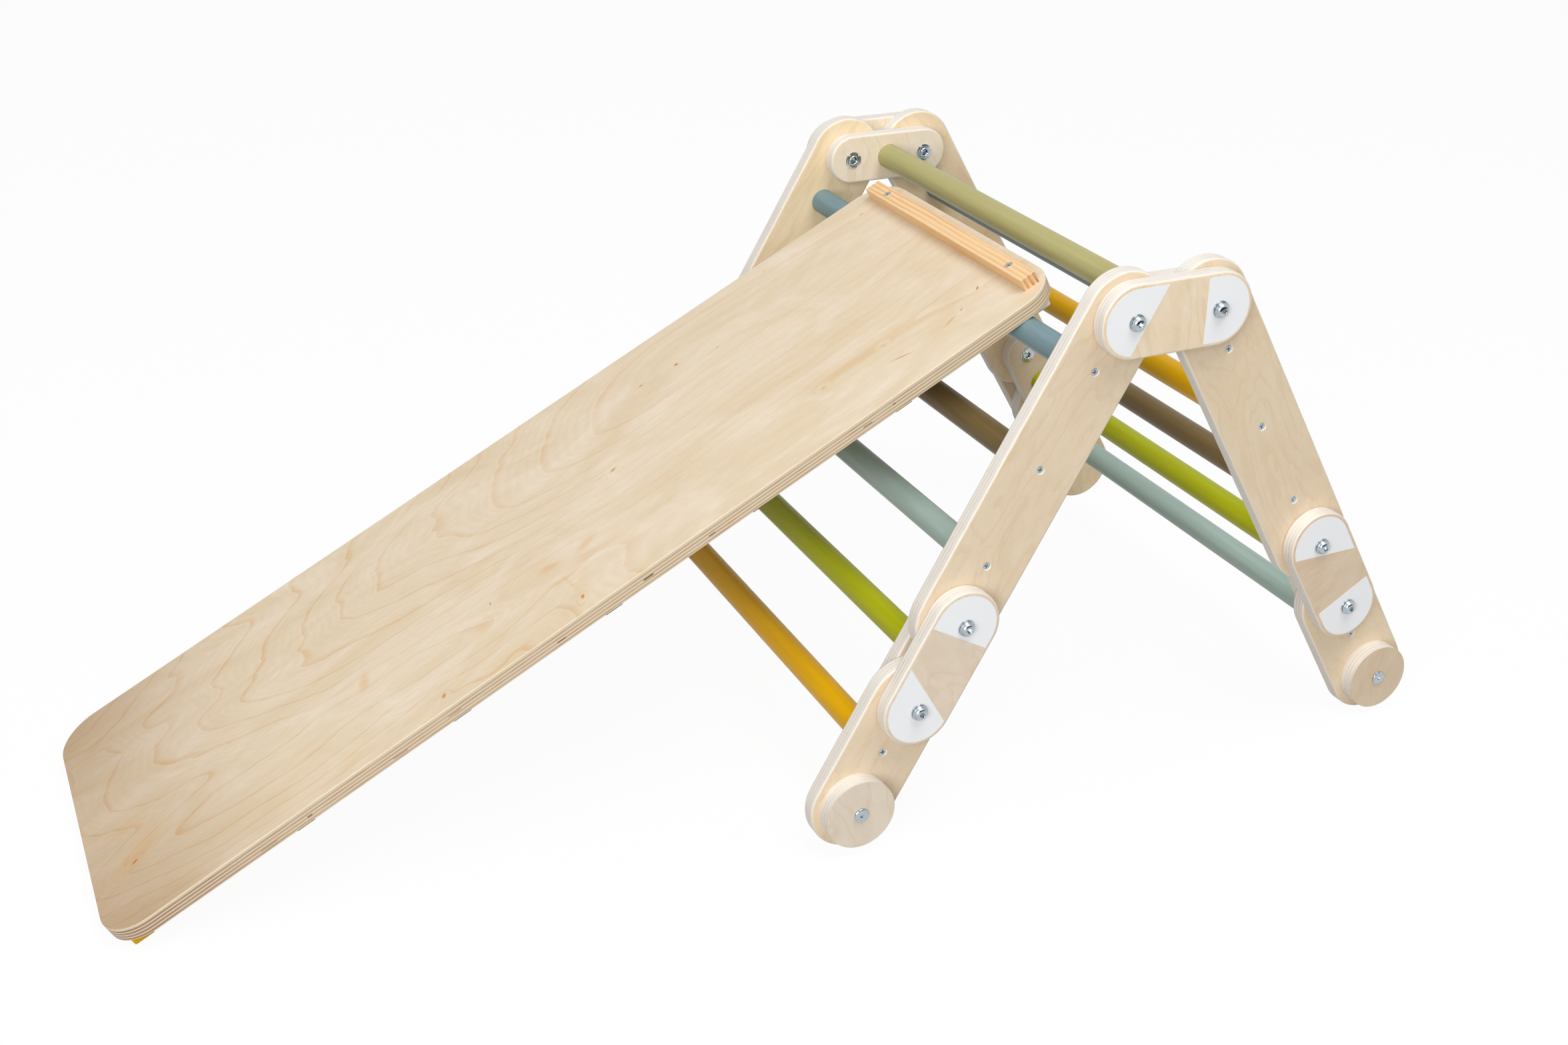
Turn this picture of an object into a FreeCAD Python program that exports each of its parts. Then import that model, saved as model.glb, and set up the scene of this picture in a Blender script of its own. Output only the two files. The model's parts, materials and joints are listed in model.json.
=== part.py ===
"""A folding climbing triangle for small children, with a hook-on ramp.

Two birch plywood side frames carry round rungs.  Each side frame is a chain of straight legs:
an upper and a lower leg at the front and at the back, joined by three pairs of link plates,
one pair at the top and one pair half way down each leg.  Every link grips two leg ends between
an outer and an inner plate, on two pivot bolts, so the chain folds at six axes.  The ramp is a
plywood board with battens underneath; its top batten hooks over the highest front rung.

Frame: millimetres, +Z up, +X from the ramp's side (the front) to the back, Y along the rungs.
The origin is on the floor, midway between the front and back feet and between the two sides.
"""

import FreeCAD, Part
import math
import os

import Sketcher

V = FreeCAD.Vector
UP = V(0, 0, 1)
doc = FreeCAD.newDocument("climbing_triangle")

# Driving dimensions
SIZES = (
    ("ply_thickness", 18.0, "sheet that legs, plates, discs and ramp are cut from"),
    ("edge_rounding", 3.0, "rounded edges of legs and link plates"),
    ("frame_inside", 600.0, "between the inner faces of the two side frames"),
    ("leg_lean", 30.0, "degrees that each leg leans from upright"),
    ("upper_leg_pivots", 350.0, "between the two pivots of an upper leg"),
    ("lower_leg_reach", 125.0, "from a lower leg's pivot to the centre of its foot"),
    ("link_pivots", 100.0, "between the two pivots of a link"),
    ("leg_end_gap", 4.0, "between the round ends of two legs in one link"),
    ("outer_plate_width", 80.0, "across an outer link plate"),
    ("inner_plate_width", 60.0, "across an inner link plate"),
    ("plate_play", 0.1, "between a leg and a link plate beside it"),
    ("foot_disc_diameter", 78.0, "round plywood disc outside each foot"),
    ("rung_diameter", 30.0, "turned beech rung"),
    ("plate_to_rung", 18.0, "from an inner plate's round end to the rung beside it, upper leg"),
    ("plate_to_lower_rung", 15.0, "the same on a lower leg"),
    ("rung_socket_depth", 8.0, "blind hole in a leg that takes a rung's end"),
    ("link_socket_depth", 10.0, "blind hole in an inner plate that takes a rung's end"),
    ("socket_play", 0.1, "round a rung in its socket"),
    ("rung_end_play", 0.2, "behind a rung's end in its socket"),
    ("screw_head", 9.0, "countersunk screw head"),
    ("screw_shank", 4.0, "countersunk screw shank"),
    ("rung_screw_length", 45.0, "screw through a leg or plate into a rung"),
    ("screw_sink", 10.0, "countersink that the head lies in, a little below the face"),
    ("screw_play", 0.05, "round a screw"),
    ("cross_recess_width", 1.3, "slot width of a screw's cross recess"),
    ("cross_recess_depth", 1.5, "depth of a screw's cross recess"),
    ("bolt_diameter", 8.0, "pivot bolt"),
    ("bolt_head_diameter", 15.5, "domed head of a pivot bolt"),
    ("bolt_head_height", 6.0, "domed head of a pivot bolt"),
    ("bolt_key", 5.0, "across the flats of a pivot bolt's hexagon socket"),
    ("bolt_key_depth", 3.5, "depth of that socket"),
    ("bolt_end_inset", 1.0, "bolt's end below the inner plate's inner face"),
    ("pivot_play", 0.05, "round a bolt in its hole"),
    ("washer_diameter", 18.0, "washer under a pivot bolt's head"),
    ("washer_thickness", 1.6, "washer under a pivot bolt's head"),
    ("tee_nut_flange", 20.0, "flange of the tee nut on the inner plate"),
    ("tee_nut_flange_thickness", 1.5, "flange of the tee nut"),
    ("tee_nut_barrel", 10.0, "barrel of the tee nut"),
    ("tee_nut_length", 10.0, "barrel of the tee nut"),
    ("tee_nut_notch", 3.0, "width of the notches where the prongs were bent down"),
    ("foot_bolt_diameter", 6.0, "bolt through a foot disc"),
    ("foot_bolt_head", 16.0, "flat head of that bolt"),
    ("foot_bolt_head_height", 2.5, "flat head of that bolt"),
    ("foot_bolt_bevel", 0.8, "bevel round that head"),
    ("foot_bolt_key", 4.0, "across the flats of its hexagon socket"),
    ("foot_bolt_length", 30.0, "below the head"),
    ("foot_nut_barrel", 8.0, "barrel nut inside the foot"),
    ("foot_nut_length", 12.0, "barrel nut inside the foot"),
    ("foot_nut_flange", 16.0, "flange of that nut"),
    ("foot_nut_flange_thickness", 1.6, "flange of that nut"),
    ("ramp_length", 1146.0, "ramp board"),
    ("ramp_width", 394.0, "ramp board"),
    ("ramp_corner_radius", 45.0, "rounded corners of the ramp board"),
    ("ramp_easing", 1.0, "eased edges of the ramp board"),
    ("ramp_seat_play", 0.3, "between the ramp board and the rung that carries it"),
    ("hook_play", 1.1, "between the hook batten and that rung"),
    ("batten_width", 22.0, "battens under the ramp"),
    ("batten_thickness", 11.0, "battens under the ramp"),
    ("batten_length", 366.0, "battens under the ramp"),
    ("batten_rounding", 2.0, "rounded edges of those battens"),
    ("batten_margin", 15.5, "from the ramp's ends to the first and last batten"),
    ("stop_width", 19.0, "pine stop on top of the ramp"),
    ("stop_height", 14.0, "pine stop on top of the ramp"),
    ("stop_length", 354.0, "pine stop on top of the ramp"),
    ("stop_easing", 0.8, "eased edges of the pine stop"),
    ("stop_screw_inset", 39.0, "from the stop's ends to its screws"),
    ("stop_bore", 9.6, "bore that hides the head of a stop's screw"),
    ("stop_bore_depth", 6.5, "bore that hides the head of a stop's screw"),
    ("stop_screw_grip", 8.0, "how far a stop's screw reaches into the hook batten"),
)

# Sizes that follow from the driving ones
DERIVED = (
    ("leg_width", "Sizes.link_pivots - Sizes.leg_end_gap"),
    ("leg_inner", "Sizes.frame_inside / 2"),
    ("leg_outer", "leg_inner + Sizes.ply_thickness"),
    ("outer_plate_inner", "leg_outer + Sizes.plate_play"),
    ("outer_plate_outer", "outer_plate_inner + Sizes.ply_thickness"),
    ("inner_plate_outer", "leg_inner - Sizes.plate_play"),
    ("inner_plate_inner", "inner_plate_outer - Sizes.ply_thickness"),
    ("rung_radius", "Sizes.rung_diameter / 2"),
    ("first_rung", "Sizes.inner_plate_width / 2 + Sizes.plate_to_rung + rung_radius"),
    ("middle_rung", "Sizes.upper_leg_pivots / 2"),
    ("last_rung", "Sizes.upper_leg_pivots - first_rung"),
    ("lower_rung", "Sizes.inner_plate_width / 2 + Sizes.plate_to_lower_rung + rung_radius"),
    ("link_middle", "Sizes.link_pivots / 2"),
    ("leg_reach", "Sizes.upper_leg_pivots + Sizes.link_pivots + Sizes.lower_leg_reach"),
    ("top_height", "leg_width / 2 + leg_reach * cos(Sizes.leg_lean)"),
    ("screw_hole", "Sizes.screw_shank + 2 * Sizes.screw_play"),
    ("screw_head_height", "(Sizes.screw_head - Sizes.screw_shank) / 2"),
    ("screw_seat", "(Sizes.screw_sink - Sizes.screw_head) / 2 - Sizes.screw_play"),
    ("leg_pilot", "Sizes.rung_screw_length + screw_seat - Sizes.ply_thickness"
                  " + Sizes.rung_socket_depth"),
    ("link_pilot", "Sizes.rung_screw_length + screw_seat - Sizes.ply_thickness"
                   " + Sizes.link_socket_depth"),
    ("bolt_hole", "Sizes.bolt_diameter + 2 * Sizes.pivot_play"),
    ("bolt_reach", "3 * Sizes.ply_thickness + 2 * Sizes.plate_play - Sizes.bolt_end_inset"
                   " + Sizes.washer_thickness"),
    ("tee_nut_hole", "Sizes.tee_nut_barrel + 2 * Sizes.screw_play"),
    ("foot_bolt_hole", "Sizes.foot_bolt_diameter + 2 * Sizes.screw_play"),
    ("foot_nut_hole", "Sizes.foot_nut_barrel + 2 * Sizes.screw_play"),
    ("hook_start", "rung_radius + Sizes.hook_play"),
    ("hook_end", "hook_start + Sizes.batten_width"),
    ("ramp_top", "hook_end + Sizes.batten_margin"),
    ("ramp_bottom", "ramp_top - Sizes.ramp_length"),
    ("first_batten", "ramp_bottom + Sizes.batten_margin"),
    ("stop_start", "hook_end - Sizes.stop_width"),
    ("stop_middle", "hook_end - Sizes.stop_width / 2"),
    ("stop_screw_place", "Sizes.stop_length / 2 - Sizes.stop_screw_inset"),
    ("stop_screw_seat", "Sizes.stop_bore_depth - screw_head_height"),
    ("stop_screw_length", "Sizes.stop_height - stop_screw_seat + Sizes.ply_thickness"
                          " + Sizes.stop_screw_grip"),
    ("ramp_lift", "rung_radius + Sizes.ramp_seat_play"),
    ("hook_rung_height", "top_height - first_rung * cos(Sizes.leg_lean)"),
    ("hook_rung_back", "Sizes.link_pivots / 2 + first_rung * sin(Sizes.leg_lean)"),
    ("corner_under", "ramp_lift - Sizes.batten_thickness + Sizes.batten_rounding"),
    ("corner_along", "0 - first_batten - Sizes.batten_rounding"),
    # The ramp leans until the rounded corner of its lowest batten stands on the floor
    ("ramp_pitch", "asin((hook_rung_height - Sizes.batten_rounding)"
                   " / sqrt(corner_under ^ 2 + corner_along ^ 2)) + atan(corner_under / corner_along)"),
)

UPPER_RUNGS = ("first_rung", "middle_rung", "last_rung")
BATTENS = ("mustard", "lime", "sage", "slate", "brown", "olive", "white")
SIDES = {"right": -1, "left": 1}
LEG_HEADINGS = {"front": -1, "back": 1}
SQUARE_SINK = 90
NOTCHES = 4
RECESS_OVERLAP = 0.5

subparts = []


def fill_sheet(name, rows):
    """Put each value or formula of rows in its own cell of a new sheet, under its alias."""
    sheet = doc.addObject("Spreadsheet::Sheet", name)
    for number, (alias, content, *note) in enumerate(rows, start=1):
        sheet.set(f"A{number}", note[0] if note else alias)
        sheet.set(f"B{number}", content if isinstance(content, str) else str(content))
        sheet.setAlias(f"B{number}", alias)
    doc.recompute()
    return sheet


sizes = fill_sheet("Sizes", SIZES)
derived = fill_sheet("Derived", [(alias, "=" + formula) for alias, formula in DERIVED])


def value(alias):
    """The number in the cell with this alias, on either sheet."""
    sheet = derived if alias in {row[0] for row in DERIVED} else sizes
    found = sheet.get(alias)
    return float(getattr(found, "Value", found))


def cell(alias):
    """The name that an expression uses for the cell with this alias."""
    sheet = "Derived" if alias in {row[0] for row in DERIVED} else "Sizes"
    return f"{sheet}.{alias}"


def bind(thing, **expressions):
    """Tie properties of an object to expressions in the sheets' cells."""
    for name, expression in expressions.items():
        thing.setExpression(name, expression)
    return thing


def named(thing, label):
    """Give a finished sub-part the label that names its file."""
    thing.Label = label
    subparts.append(thing)
    return thing


# Sketches and plates

def sketch_on(body, name, height=None):
    """A sketch on the body's XY plane, or at a height above it given by an expression."""
    sketch = body.newObject("Sketcher::SketchObject", name)
    plane = next(item for item in body.Origin.OriginFeatures if item.Role == "XY_Plane")
    sketch.AttachmentSupport = [(plane, "")]
    sketch.MapMode = "FlatFace"
    if height:
        sketch.setExpression("AttachmentOffset.Base.z", height)
    return sketch


def dimension(sketch, constraint, name, expression):
    """Add a named dimension to a sketch and tie it to an expression."""
    index = sketch.addConstraint(constraint)
    sketch.renameConstraint(index, name)
    sketch.setExpression(f"Constraints.{name}", expression)


def stadium(body, reach, width):
    """A round-ended outline: half circles about the origin and about a point at reach along X."""
    sketch = sketch_on(body, "Outline")
    length, radius = value(reach), value(width) / 2
    quarter = math.pi / 2
    near = sketch.addGeometry(Part.ArcOfCircle(Part.Circle(V(), UP, radius), quarter, 3 * quarter))
    far = sketch.addGeometry(
        Part.ArcOfCircle(Part.Circle(V(length, 0, 0), UP, radius), -quarter, quarter))
    upper = sketch.addGeometry(Part.LineSegment(V(0, radius, 0), V(length, radius, 0)))
    lower = sketch.addGeometry(Part.LineSegment(V(0, -radius, 0), V(length, -radius, 0)))
    sketch.addConstraint([
        Sketcher.Constraint("Tangent", near, 1, upper, 1),
        Sketcher.Constraint("Tangent", upper, 2, far, 2),
        Sketcher.Constraint("Tangent", near, 2, lower, 1),
        Sketcher.Constraint("Tangent", lower, 2, far, 1),
        Sketcher.Constraint("Coincident", near, 3, -1, 1),
        Sketcher.Constraint("PointOnObject", far, 3, -1),
        Sketcher.Constraint("Equal", near, far),
    ])
    dimension(sketch, Sketcher.Constraint("DistanceX", near, 3, far, 3, length), "reach", cell(reach))
    dimension(sketch, Sketcher.Constraint("Radius", near, radius), "end_radius", f"{cell(width)} / 2")
    return sketch


def rectangle(body, low, high, width):
    """A rectangle from low to high along X, centred on the X axis."""
    sketch = sketch_on(body, "Outline")
    start, end, half = value(low), value(high), value(width) / 2
    corners = (V(start, -half, 0), V(end, -half, 0), V(end, half, 0), V(start, half, 0))
    lines = [sketch.addGeometry(Part.LineSegment(corners[i], corners[(i + 1) % 4])) for i in range(4)]
    for i in range(4):
        sketch.addConstraint(Sketcher.Constraint("Coincident", lines[i], 2, lines[(i + 1) % 4], 1))
    for i, direction in enumerate(("Horizontal", "Vertical", "Horizontal")):
        sketch.addConstraint(Sketcher.Constraint(direction, lines[i]))
    sketch.addConstraint(Sketcher.Constraint("Symmetric", lines[0], 1, lines[2], 2, -1))
    dimension(sketch, Sketcher.Constraint("DistanceX", -1, 1, lines[0], 1, start), "low", cell(low))
    dimension(sketch, Sketcher.Constraint("DistanceX", -1, 1, lines[0], 2, end), "high", cell(high))
    dimension(sketch, Sketcher.Constraint("DistanceY", lines[1], 1, lines[1], 2, 2 * half),
              "width", cell(width))
    return sketch


def circles(body, name, centres, diameter, height=None):
    """A sketch of equal circles.  Each centre is (x, y): expressions, or None for zero."""
    sketch = sketch_on(body, name, height)
    for number, (x, y) in enumerate(centres):
        across, along = (measure(y), measure(x))
        ring = sketch.addGeometry(Part.Circle(V(along, across, 0), UP, measure(diameter) / 2))
        dimension(sketch, Sketcher.Constraint("Diameter", ring, measure(diameter)),
                  f"bore{number}", diameter)
        place(sketch, ring, number, x, y)
    return sketch


def measure(expression):
    """The present value of an expression in the sheets' cells; None counts as zero."""
    if expression is None:
        return 0.0
    found = sizes.evalExpression(expression)
    return float(getattr(found, "Value", found))


def place(sketch, ring, number, x, y):
    """Hold a circle's centre at (x, y), on an axis where one of them is None."""
    if x is None and y is None:
        sketch.addConstraint(Sketcher.Constraint("Coincident", ring, 3, -1, 1))
        return
    if y is None:
        sketch.addConstraint(Sketcher.Constraint("PointOnObject", ring, 3, -1))
    else:
        dimension(sketch, Sketcher.Constraint("DistanceY", -1, 1, ring, 3, measure(y)), f"y{number}", y)
    if x is None:
        sketch.addConstraint(Sketcher.Constraint("PointOnObject", ring, 3, -2))
    else:
        dimension(sketch, Sketcher.Constraint("DistanceX", -1, 1, ring, 3, measure(x)), f"x{number}", x)


def pad(body, sketch, thickness):
    """Raise the sketch along +Z by the thickness in a cell."""
    feature = body.newObject("PartDesign::Pad", "Pad")
    feature.Profile = sketch
    bind(feature, Length=cell(thickness))
    doc.recompute()
    return feature


def round_edges(body, feature, chosen, radius):
    """Round the edges of a feature that a test picks out."""
    edges = [f"Edge{n}" for n, edge in enumerate(feature.Shape.Edges, start=1) if chosen(edge)]
    rounding = body.newObject("PartDesign::Fillet", "Rounding")
    rounding.Base = (feature, edges)
    bind(rounding, Radius=cell(radius))
    doc.recompute()


def is_level(edge):
    """True for an edge that runs along one of a plate's two faces."""
    return edge.BoundBox.ZLength < Part.Precision.confusion()


def bore(body, name, centres, diameter, depth=None):
    """Bore upwards from the XY plane, to a depth in a cell or right through."""
    before = body.Shape.Volume
    feature = body.newObject("PartDesign::Pocket", name)
    feature.Profile = circles(body, name + "Places", centres, diameter)
    feature.Reversed = True
    if depth:
        bind(feature, Length=cell(depth))
    else:
        feature.Type = "ThroughAll"
    doc.recompute()
    if not body.Shape.Volume < before:
        raise RuntimeError(f"{name} cut nothing out of {body.Name}")


def countersink(body, name, centres, top):
    """Screw holes right through, with a countersink in the face at the height in a cell."""
    holes = circles(body, name + "Places", centres, cell("screw_hole"), cell(top))
    doc.recompute()
    feature = body.newObject("PartDesign::Hole", name)
    feature.Profile = holes
    feature.ThreadType = "None"
    feature.DepthType = "ThroughAll"
    feature.HoleCutType = "Countersink"
    feature.HoleCutCountersinkAngle = SQUARE_SINK
    bind(feature, Diameter=cell("screw_hole"), HoleCutDiameter=cell("screw_sink"))
    doc.recompute()


def round_ended_plate(label, reach, width):
    """A round-ended plywood plate with rounded edges, its first pivot at the origin."""
    body = doc.addObject("PartDesign::Body", label)
    blank = pad(body, stadium(body, reach, width), "ply_thickness")
    round_edges(body, blank, is_level, "edge_rounding")
    return named(body, label)


# Places in the frame

def heading(end):
    """Unit vector down a leg of this end, in the XZ plane."""
    lean = math.radians(value("leg_lean"))
    return V(LEG_HEADINGS[end] * math.sin(lean), 0, -math.cos(lean))


def on_leg(end, distance):
    """The point at a distance below the top pivot, on the line of the legs at this end."""
    top = V(LEG_HEADINGS[end] * value("link_pivots") / 2, 0, value("top_height"))
    return top + heading(end) * distance


def flat_at(point, along, out, side):
    """Placement of a plate: local X along a direction, local Z out of this side of the frame."""
    outward = V(0, SIDES[side], 0)
    base = V(point.x, SIDES[side] * out, point.z)
    return FreeCAD.Placement(base, FreeCAD.Rotation(along, outward.cross(along), outward, "XYZ"))


def facing(point, out, side, inwards=False):
    """Placement of a fastener: local Z out of this side of the frame, or into it."""
    axis = V(0, -SIDES[side] if inwards else SIDES[side], 0)
    return FreeCAD.Placement(V(point.x, SIDES[side] * out, point.z), FreeCAD.Rotation(UP, axis))


def on_ramp(along, across, above):
    """Placement on the ramp: local X up the ramp, local Z out of its top face."""
    rung = V(-value("hook_rung_back"), 0, value("hook_rung_height"))
    tilt = FreeCAD.Rotation(V(0, 1, 0), -value("ramp_pitch"))
    return FreeCAD.Placement(rung + tilt.multVec(V(along, across, above + value("ramp_lift"))), tilt)


# Legs, link plates and foot discs

def upper_leg(end, side):
    """A leg with a pivot hole in each round end and three rung sockets in its inner face."""
    body = round_ended_plate(f"{end}_upper_leg_{side}", "upper_leg_pivots", "leg_width")
    rungs = [(cell(rung), None) for rung in UPPER_RUNGS]
    bore(body, "PivotHoles", [(None, None), (cell("upper_leg_pivots"), None)], cell("bolt_hole"))
    bore(body, "RungSockets", rungs, f"{cell('rung_diameter')} + 2 * {cell('socket_play')}",
         "rung_socket_depth")
    countersink(body, "ScrewHoles", rungs, "ply_thickness")
    body.Placement = flat_at(on_leg(end, 0), heading(end), value("leg_inner"), side)


def lower_leg(end, side):
    """A short leg with a pivot hole, one rung socket and a hole for the foot bolt's nut."""
    body = round_ended_plate(f"{end}_lower_leg_{side}", "lower_leg_reach", "leg_width")
    rung = [(cell("lower_rung"), None)]
    bore(body, "PivotHole", [(None, None)], cell("bolt_hole"))
    bore(body, "FootHole", [(cell("lower_leg_reach"), None)], cell("foot_nut_hole"))
    bore(body, "RungSocket", rung, f"{cell('rung_diameter')} + 2 * {cell('socket_play')}",
         "rung_socket_depth")
    countersink(body, "ScrewHole", rung, "ply_thickness")
    pivot = on_leg(end, value("upper_leg_pivots") + value("link_pivots"))
    body.Placement = flat_at(pivot, heading(end), value("leg_inner"), side)


def link_plates(link, side, pivot, along):
    """The outer plate, with its bolt holes, and the smaller inner plate that holds the rung."""
    both = [(None, None), (cell("link_pivots"), None)]
    outer = round_ended_plate(f"{link}_outer_plate_{side}", "link_pivots", "outer_plate_width")
    bore(outer, "PivotHoles", both, cell("bolt_hole"))
    outer.Placement = flat_at(pivot, along, value("outer_plate_inner"), side)
    inner = round_ended_plate(f"{link}_inner_plate_{side}", "link_pivots", "inner_plate_width")
    middle = [(cell("link_middle"), None)]
    bore(inner, "NutHoles", both, cell("tee_nut_hole"))
    bore(inner, "RungSocket", middle, f"{cell('rung_diameter')} + 2 * {cell('socket_play')}",
         "link_socket_depth")
    countersink(inner, "ScrewHole", middle, "ply_thickness")
    inner.Placement = flat_at(pivot, along, value("inner_plate_inner"), side)


def foot_disc(end, side):
    """A plain round disc of plywood, bolted to the outside of a foot."""
    label = f"{end}_foot_disc_{side}"
    disc = bind(doc.addObject("Part::Cylinder", "Disc"), Radius="Sizes.foot_disc_diameter / 2",
                Height=cell("ply_thickness"))
    hole = bind(doc.addObject("Part::Cylinder", "DiscHole"), Radius=f"{cell('foot_bolt_hole')} / 2",
                Height=cell("ply_thickness"))
    cut = named(doc.addObject("Part::Cut", label), label)
    cut.Base, cut.Tool = disc, hole
    cut.Placement = flat_at(on_leg(end, value("leg_reach")), heading(end), value("leg_outer"), side)


def rung(label, point, half_length, pilot):
    """A round rung across the frame, with a pilot hole for a screw in each end."""
    bar = bind(doc.addObject("Part::Cylinder", "Bar"), Radius=cell("rung_radius"),
               Height=f"2 * ({half_length})")
    pilots = []
    for start in ("0", f"2 * ({half_length}) - {pilot}"):
        drill = bind(doc.addObject("Part::Cylinder", "Pilot"), Radius=f"{cell('screw_hole')} / 2",
                     Height=pilot)
        drill.setExpression("Placement.Base.z", start)
        pilots.append(drill)
    both = doc.addObject("Part::Compound", "Pilots")
    both.Links = pilots
    cut = named(doc.addObject("Part::Cut", label), label)
    cut.Base, cut.Tool = bar, both
    cut.Placement = facing(point, measure(half_length), "right", inwards=True)


# Fasteners, each made once and then copied to its places

def fuse(*shapes):
    """Join primitives into one solid."""
    joined = doc.addObject("Part::MultiFuse", "Joined")
    joined.Shapes = list(shapes)
    return joined


def cut_away(base, tool):
    """Take one primitive away from another."""
    cut = doc.addObject("Part::Cut", "CutAway")
    cut.Base, cut.Tool = base, tool
    return cut


def cylinder(diameter, height, base="0"):
    """A cylinder on the Z axis, standing on a height given by an expression."""
    solid = bind(doc.addObject("Part::Cylinder", "Round"), Radius=f"({diameter}) / 2", Height=height)
    solid.setExpression("Placement.Base.z", base)
    return solid


def hexagon_socket(flats, depth, top):
    """The hexagonal hole in a bolt head, open at a height given by an expression."""
    key = doc.addObject("Part::Prism", "KeySocket")
    key.Polygon = 6
    bind(key, Circumradius=f"{flats} / sqrt(3)", Height=f"{depth} + {RECESS_OVERLAP}")
    key.setExpression("Placement.Base.z", f"{top} - {depth}")
    return key


def slot(width, length, depth, turn):
    """A narrow box across the Z axis, cut down from the XY plane."""
    box = bind(doc.addObject("Part::Box", "Slot"), Length=length, Width=width,
               Height=f"{depth} + {RECESS_OVERLAP}")
    corner = V(-measure(length) / 2, -measure(width) / 2, -measure(depth))
    spin = FreeCAD.Rotation(UP, turn)
    box.Placement = FreeCAD.Placement(spin.multVec(corner), spin)
    return box


def wood_screw(length):
    """A countersunk screw with a cross recess; the top of its head is at the origin."""
    head = doc.addObject("Part::Cone", "Head")
    bind(head, Radius1="Sizes.screw_shank / 2", Radius2="Sizes.screw_head / 2",
         Height=cell("screw_head_height"))
    head.setExpression("Placement.Base.z", f"0 - {cell('screw_head_height')}")
    shank = cylinder(cell("screw_shank"), f"{length} - {cell('screw_head_height')}", f"0 - {length}")
    arms = [slot(cell("cross_recess_width"), "Sizes.screw_head * 0.55", cell("cross_recess_depth"), turn)
            for turn in (0, 90)]
    return cut_away(fuse(head, shank), fuse(*arms))


def pivot_bolt():
    """A domed bolt; the plate's face that its washer lies on is at the origin."""
    rise = "(Sizes.bolt_head_height ^ 2 + Sizes.bolt_head_diameter ^ 2 / 4) / (2 * Sizes.bolt_head_height)"
    dome = doc.addObject("Part::Sphere", "Dome")
    bind(dome, Radius=rise, Angle1=f"asin(1 - Sizes.bolt_head_height / ({rise}))")
    dome.setExpression("Placement.Base.z",
                       f"Sizes.washer_thickness + Sizes.bolt_head_height - ({rise})")
    shank = cylinder(cell("bolt_diameter"), cell("bolt_reach"),
                     f"Sizes.washer_thickness - {cell('bolt_reach')}")
    key = hexagon_socket(cell("bolt_key"), cell("bolt_key_depth"),
                         "Sizes.washer_thickness + Sizes.bolt_head_height")
    return cut_away(fuse(dome, shank), key)


def washer():
    """The plain washer under a pivot bolt's head."""
    disc = cylinder(cell("washer_diameter"), cell("washer_thickness"))
    return cut_away(disc, cylinder(cell("bolt_hole"), cell("washer_thickness")))


def tee_nut():
    """A tee nut: its notched flange lies on the plate, on +Z, and its barrel goes into it."""
    flange = cylinder(cell("tee_nut_flange"), cell("tee_nut_flange_thickness"))
    barrel = cylinder(cell("tee_nut_barrel"), cell("tee_nut_length"), "0 - Sizes.tee_nut_length")
    thread = cylinder(cell("bolt_hole"), "Sizes.tee_nut_length + Sizes.tee_nut_flange_thickness",
                      "0 - Sizes.tee_nut_length")
    notches = []
    for number in range(NOTCHES):
        notch = bind(doc.addObject("Part::Cylinder", "Notch"), Radius="Sizes.tee_nut_notch / 2",
                     Height=cell("tee_nut_flange_thickness"))
        turn = FreeCAD.Rotation(UP, 360 / NOTCHES * number)
        notch.Placement.Base = turn.multVec(V(value("tee_nut_flange") / 2, 0, 0))
        notches.append(notch)
    return cut_away(fuse(flange, barrel), fuse(thread, *notches))


def foot_bolt():
    """A flat-headed bolt; the disc's face that its head lies on is at the origin."""
    rim = cylinder(cell("foot_bolt_head"), "Sizes.foot_bolt_head_height - Sizes.foot_bolt_bevel")
    bevel = doc.addObject("Part::Cone", "Bevel")
    bind(bevel, Radius1="Sizes.foot_bolt_head / 2",
         Radius2="Sizes.foot_bolt_head / 2 - Sizes.foot_bolt_bevel", Height=cell("foot_bolt_bevel"))
    bevel.setExpression("Placement.Base.z", "Sizes.foot_bolt_head_height - Sizes.foot_bolt_bevel")
    shank = cylinder(cell("foot_bolt_diameter"), cell("foot_bolt_length"), "0 - Sizes.foot_bolt_length")
    key = hexagon_socket(cell("foot_bolt_key"), cell("foot_bolt_head_height"),
                         cell("foot_bolt_head_height"))
    return cut_away(fuse(rim, bevel, shank), key)


def foot_nut():
    """A barrel nut: its flange lies on the leg's inner face, on +Z, and its barrel goes in."""
    flange = cylinder(cell("foot_nut_flange"), cell("foot_nut_flange_thickness"))
    barrel = cylinder(cell("foot_nut_barrel"), cell("foot_nut_length"), "0 - Sizes.foot_nut_length")
    thread = cylinder(cell("foot_bolt_hole"), "Sizes.foot_nut_length + Sizes.foot_nut_flange_thickness",
                      "0 - Sizes.foot_nut_length")
    return cut_away(fuse(flange, barrel), thread)


def group(label, placed):
    """One sub-part of separate solids: copies of finished fasteners, each at its placement."""
    copies = []
    for original, placement in placed:
        copy = doc.addObject("App::Link", "Copy")
        copy.LinkedObject = original
        copy.LinkTransform = True
        copy.Placement = placement
        copies.append(copy)
    together = named(doc.addObject("Part::Compound", label), label)
    together.Links = copies


def rung_screws(label, screw, points, out):
    """The screws into both ends of some rungs, their heads below a face at this distance out."""
    depth = out - value("screw_seat")
    group(label, [(screw, facing(point, depth, side)) for point in points for side in SIDES])


# Ramp

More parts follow.
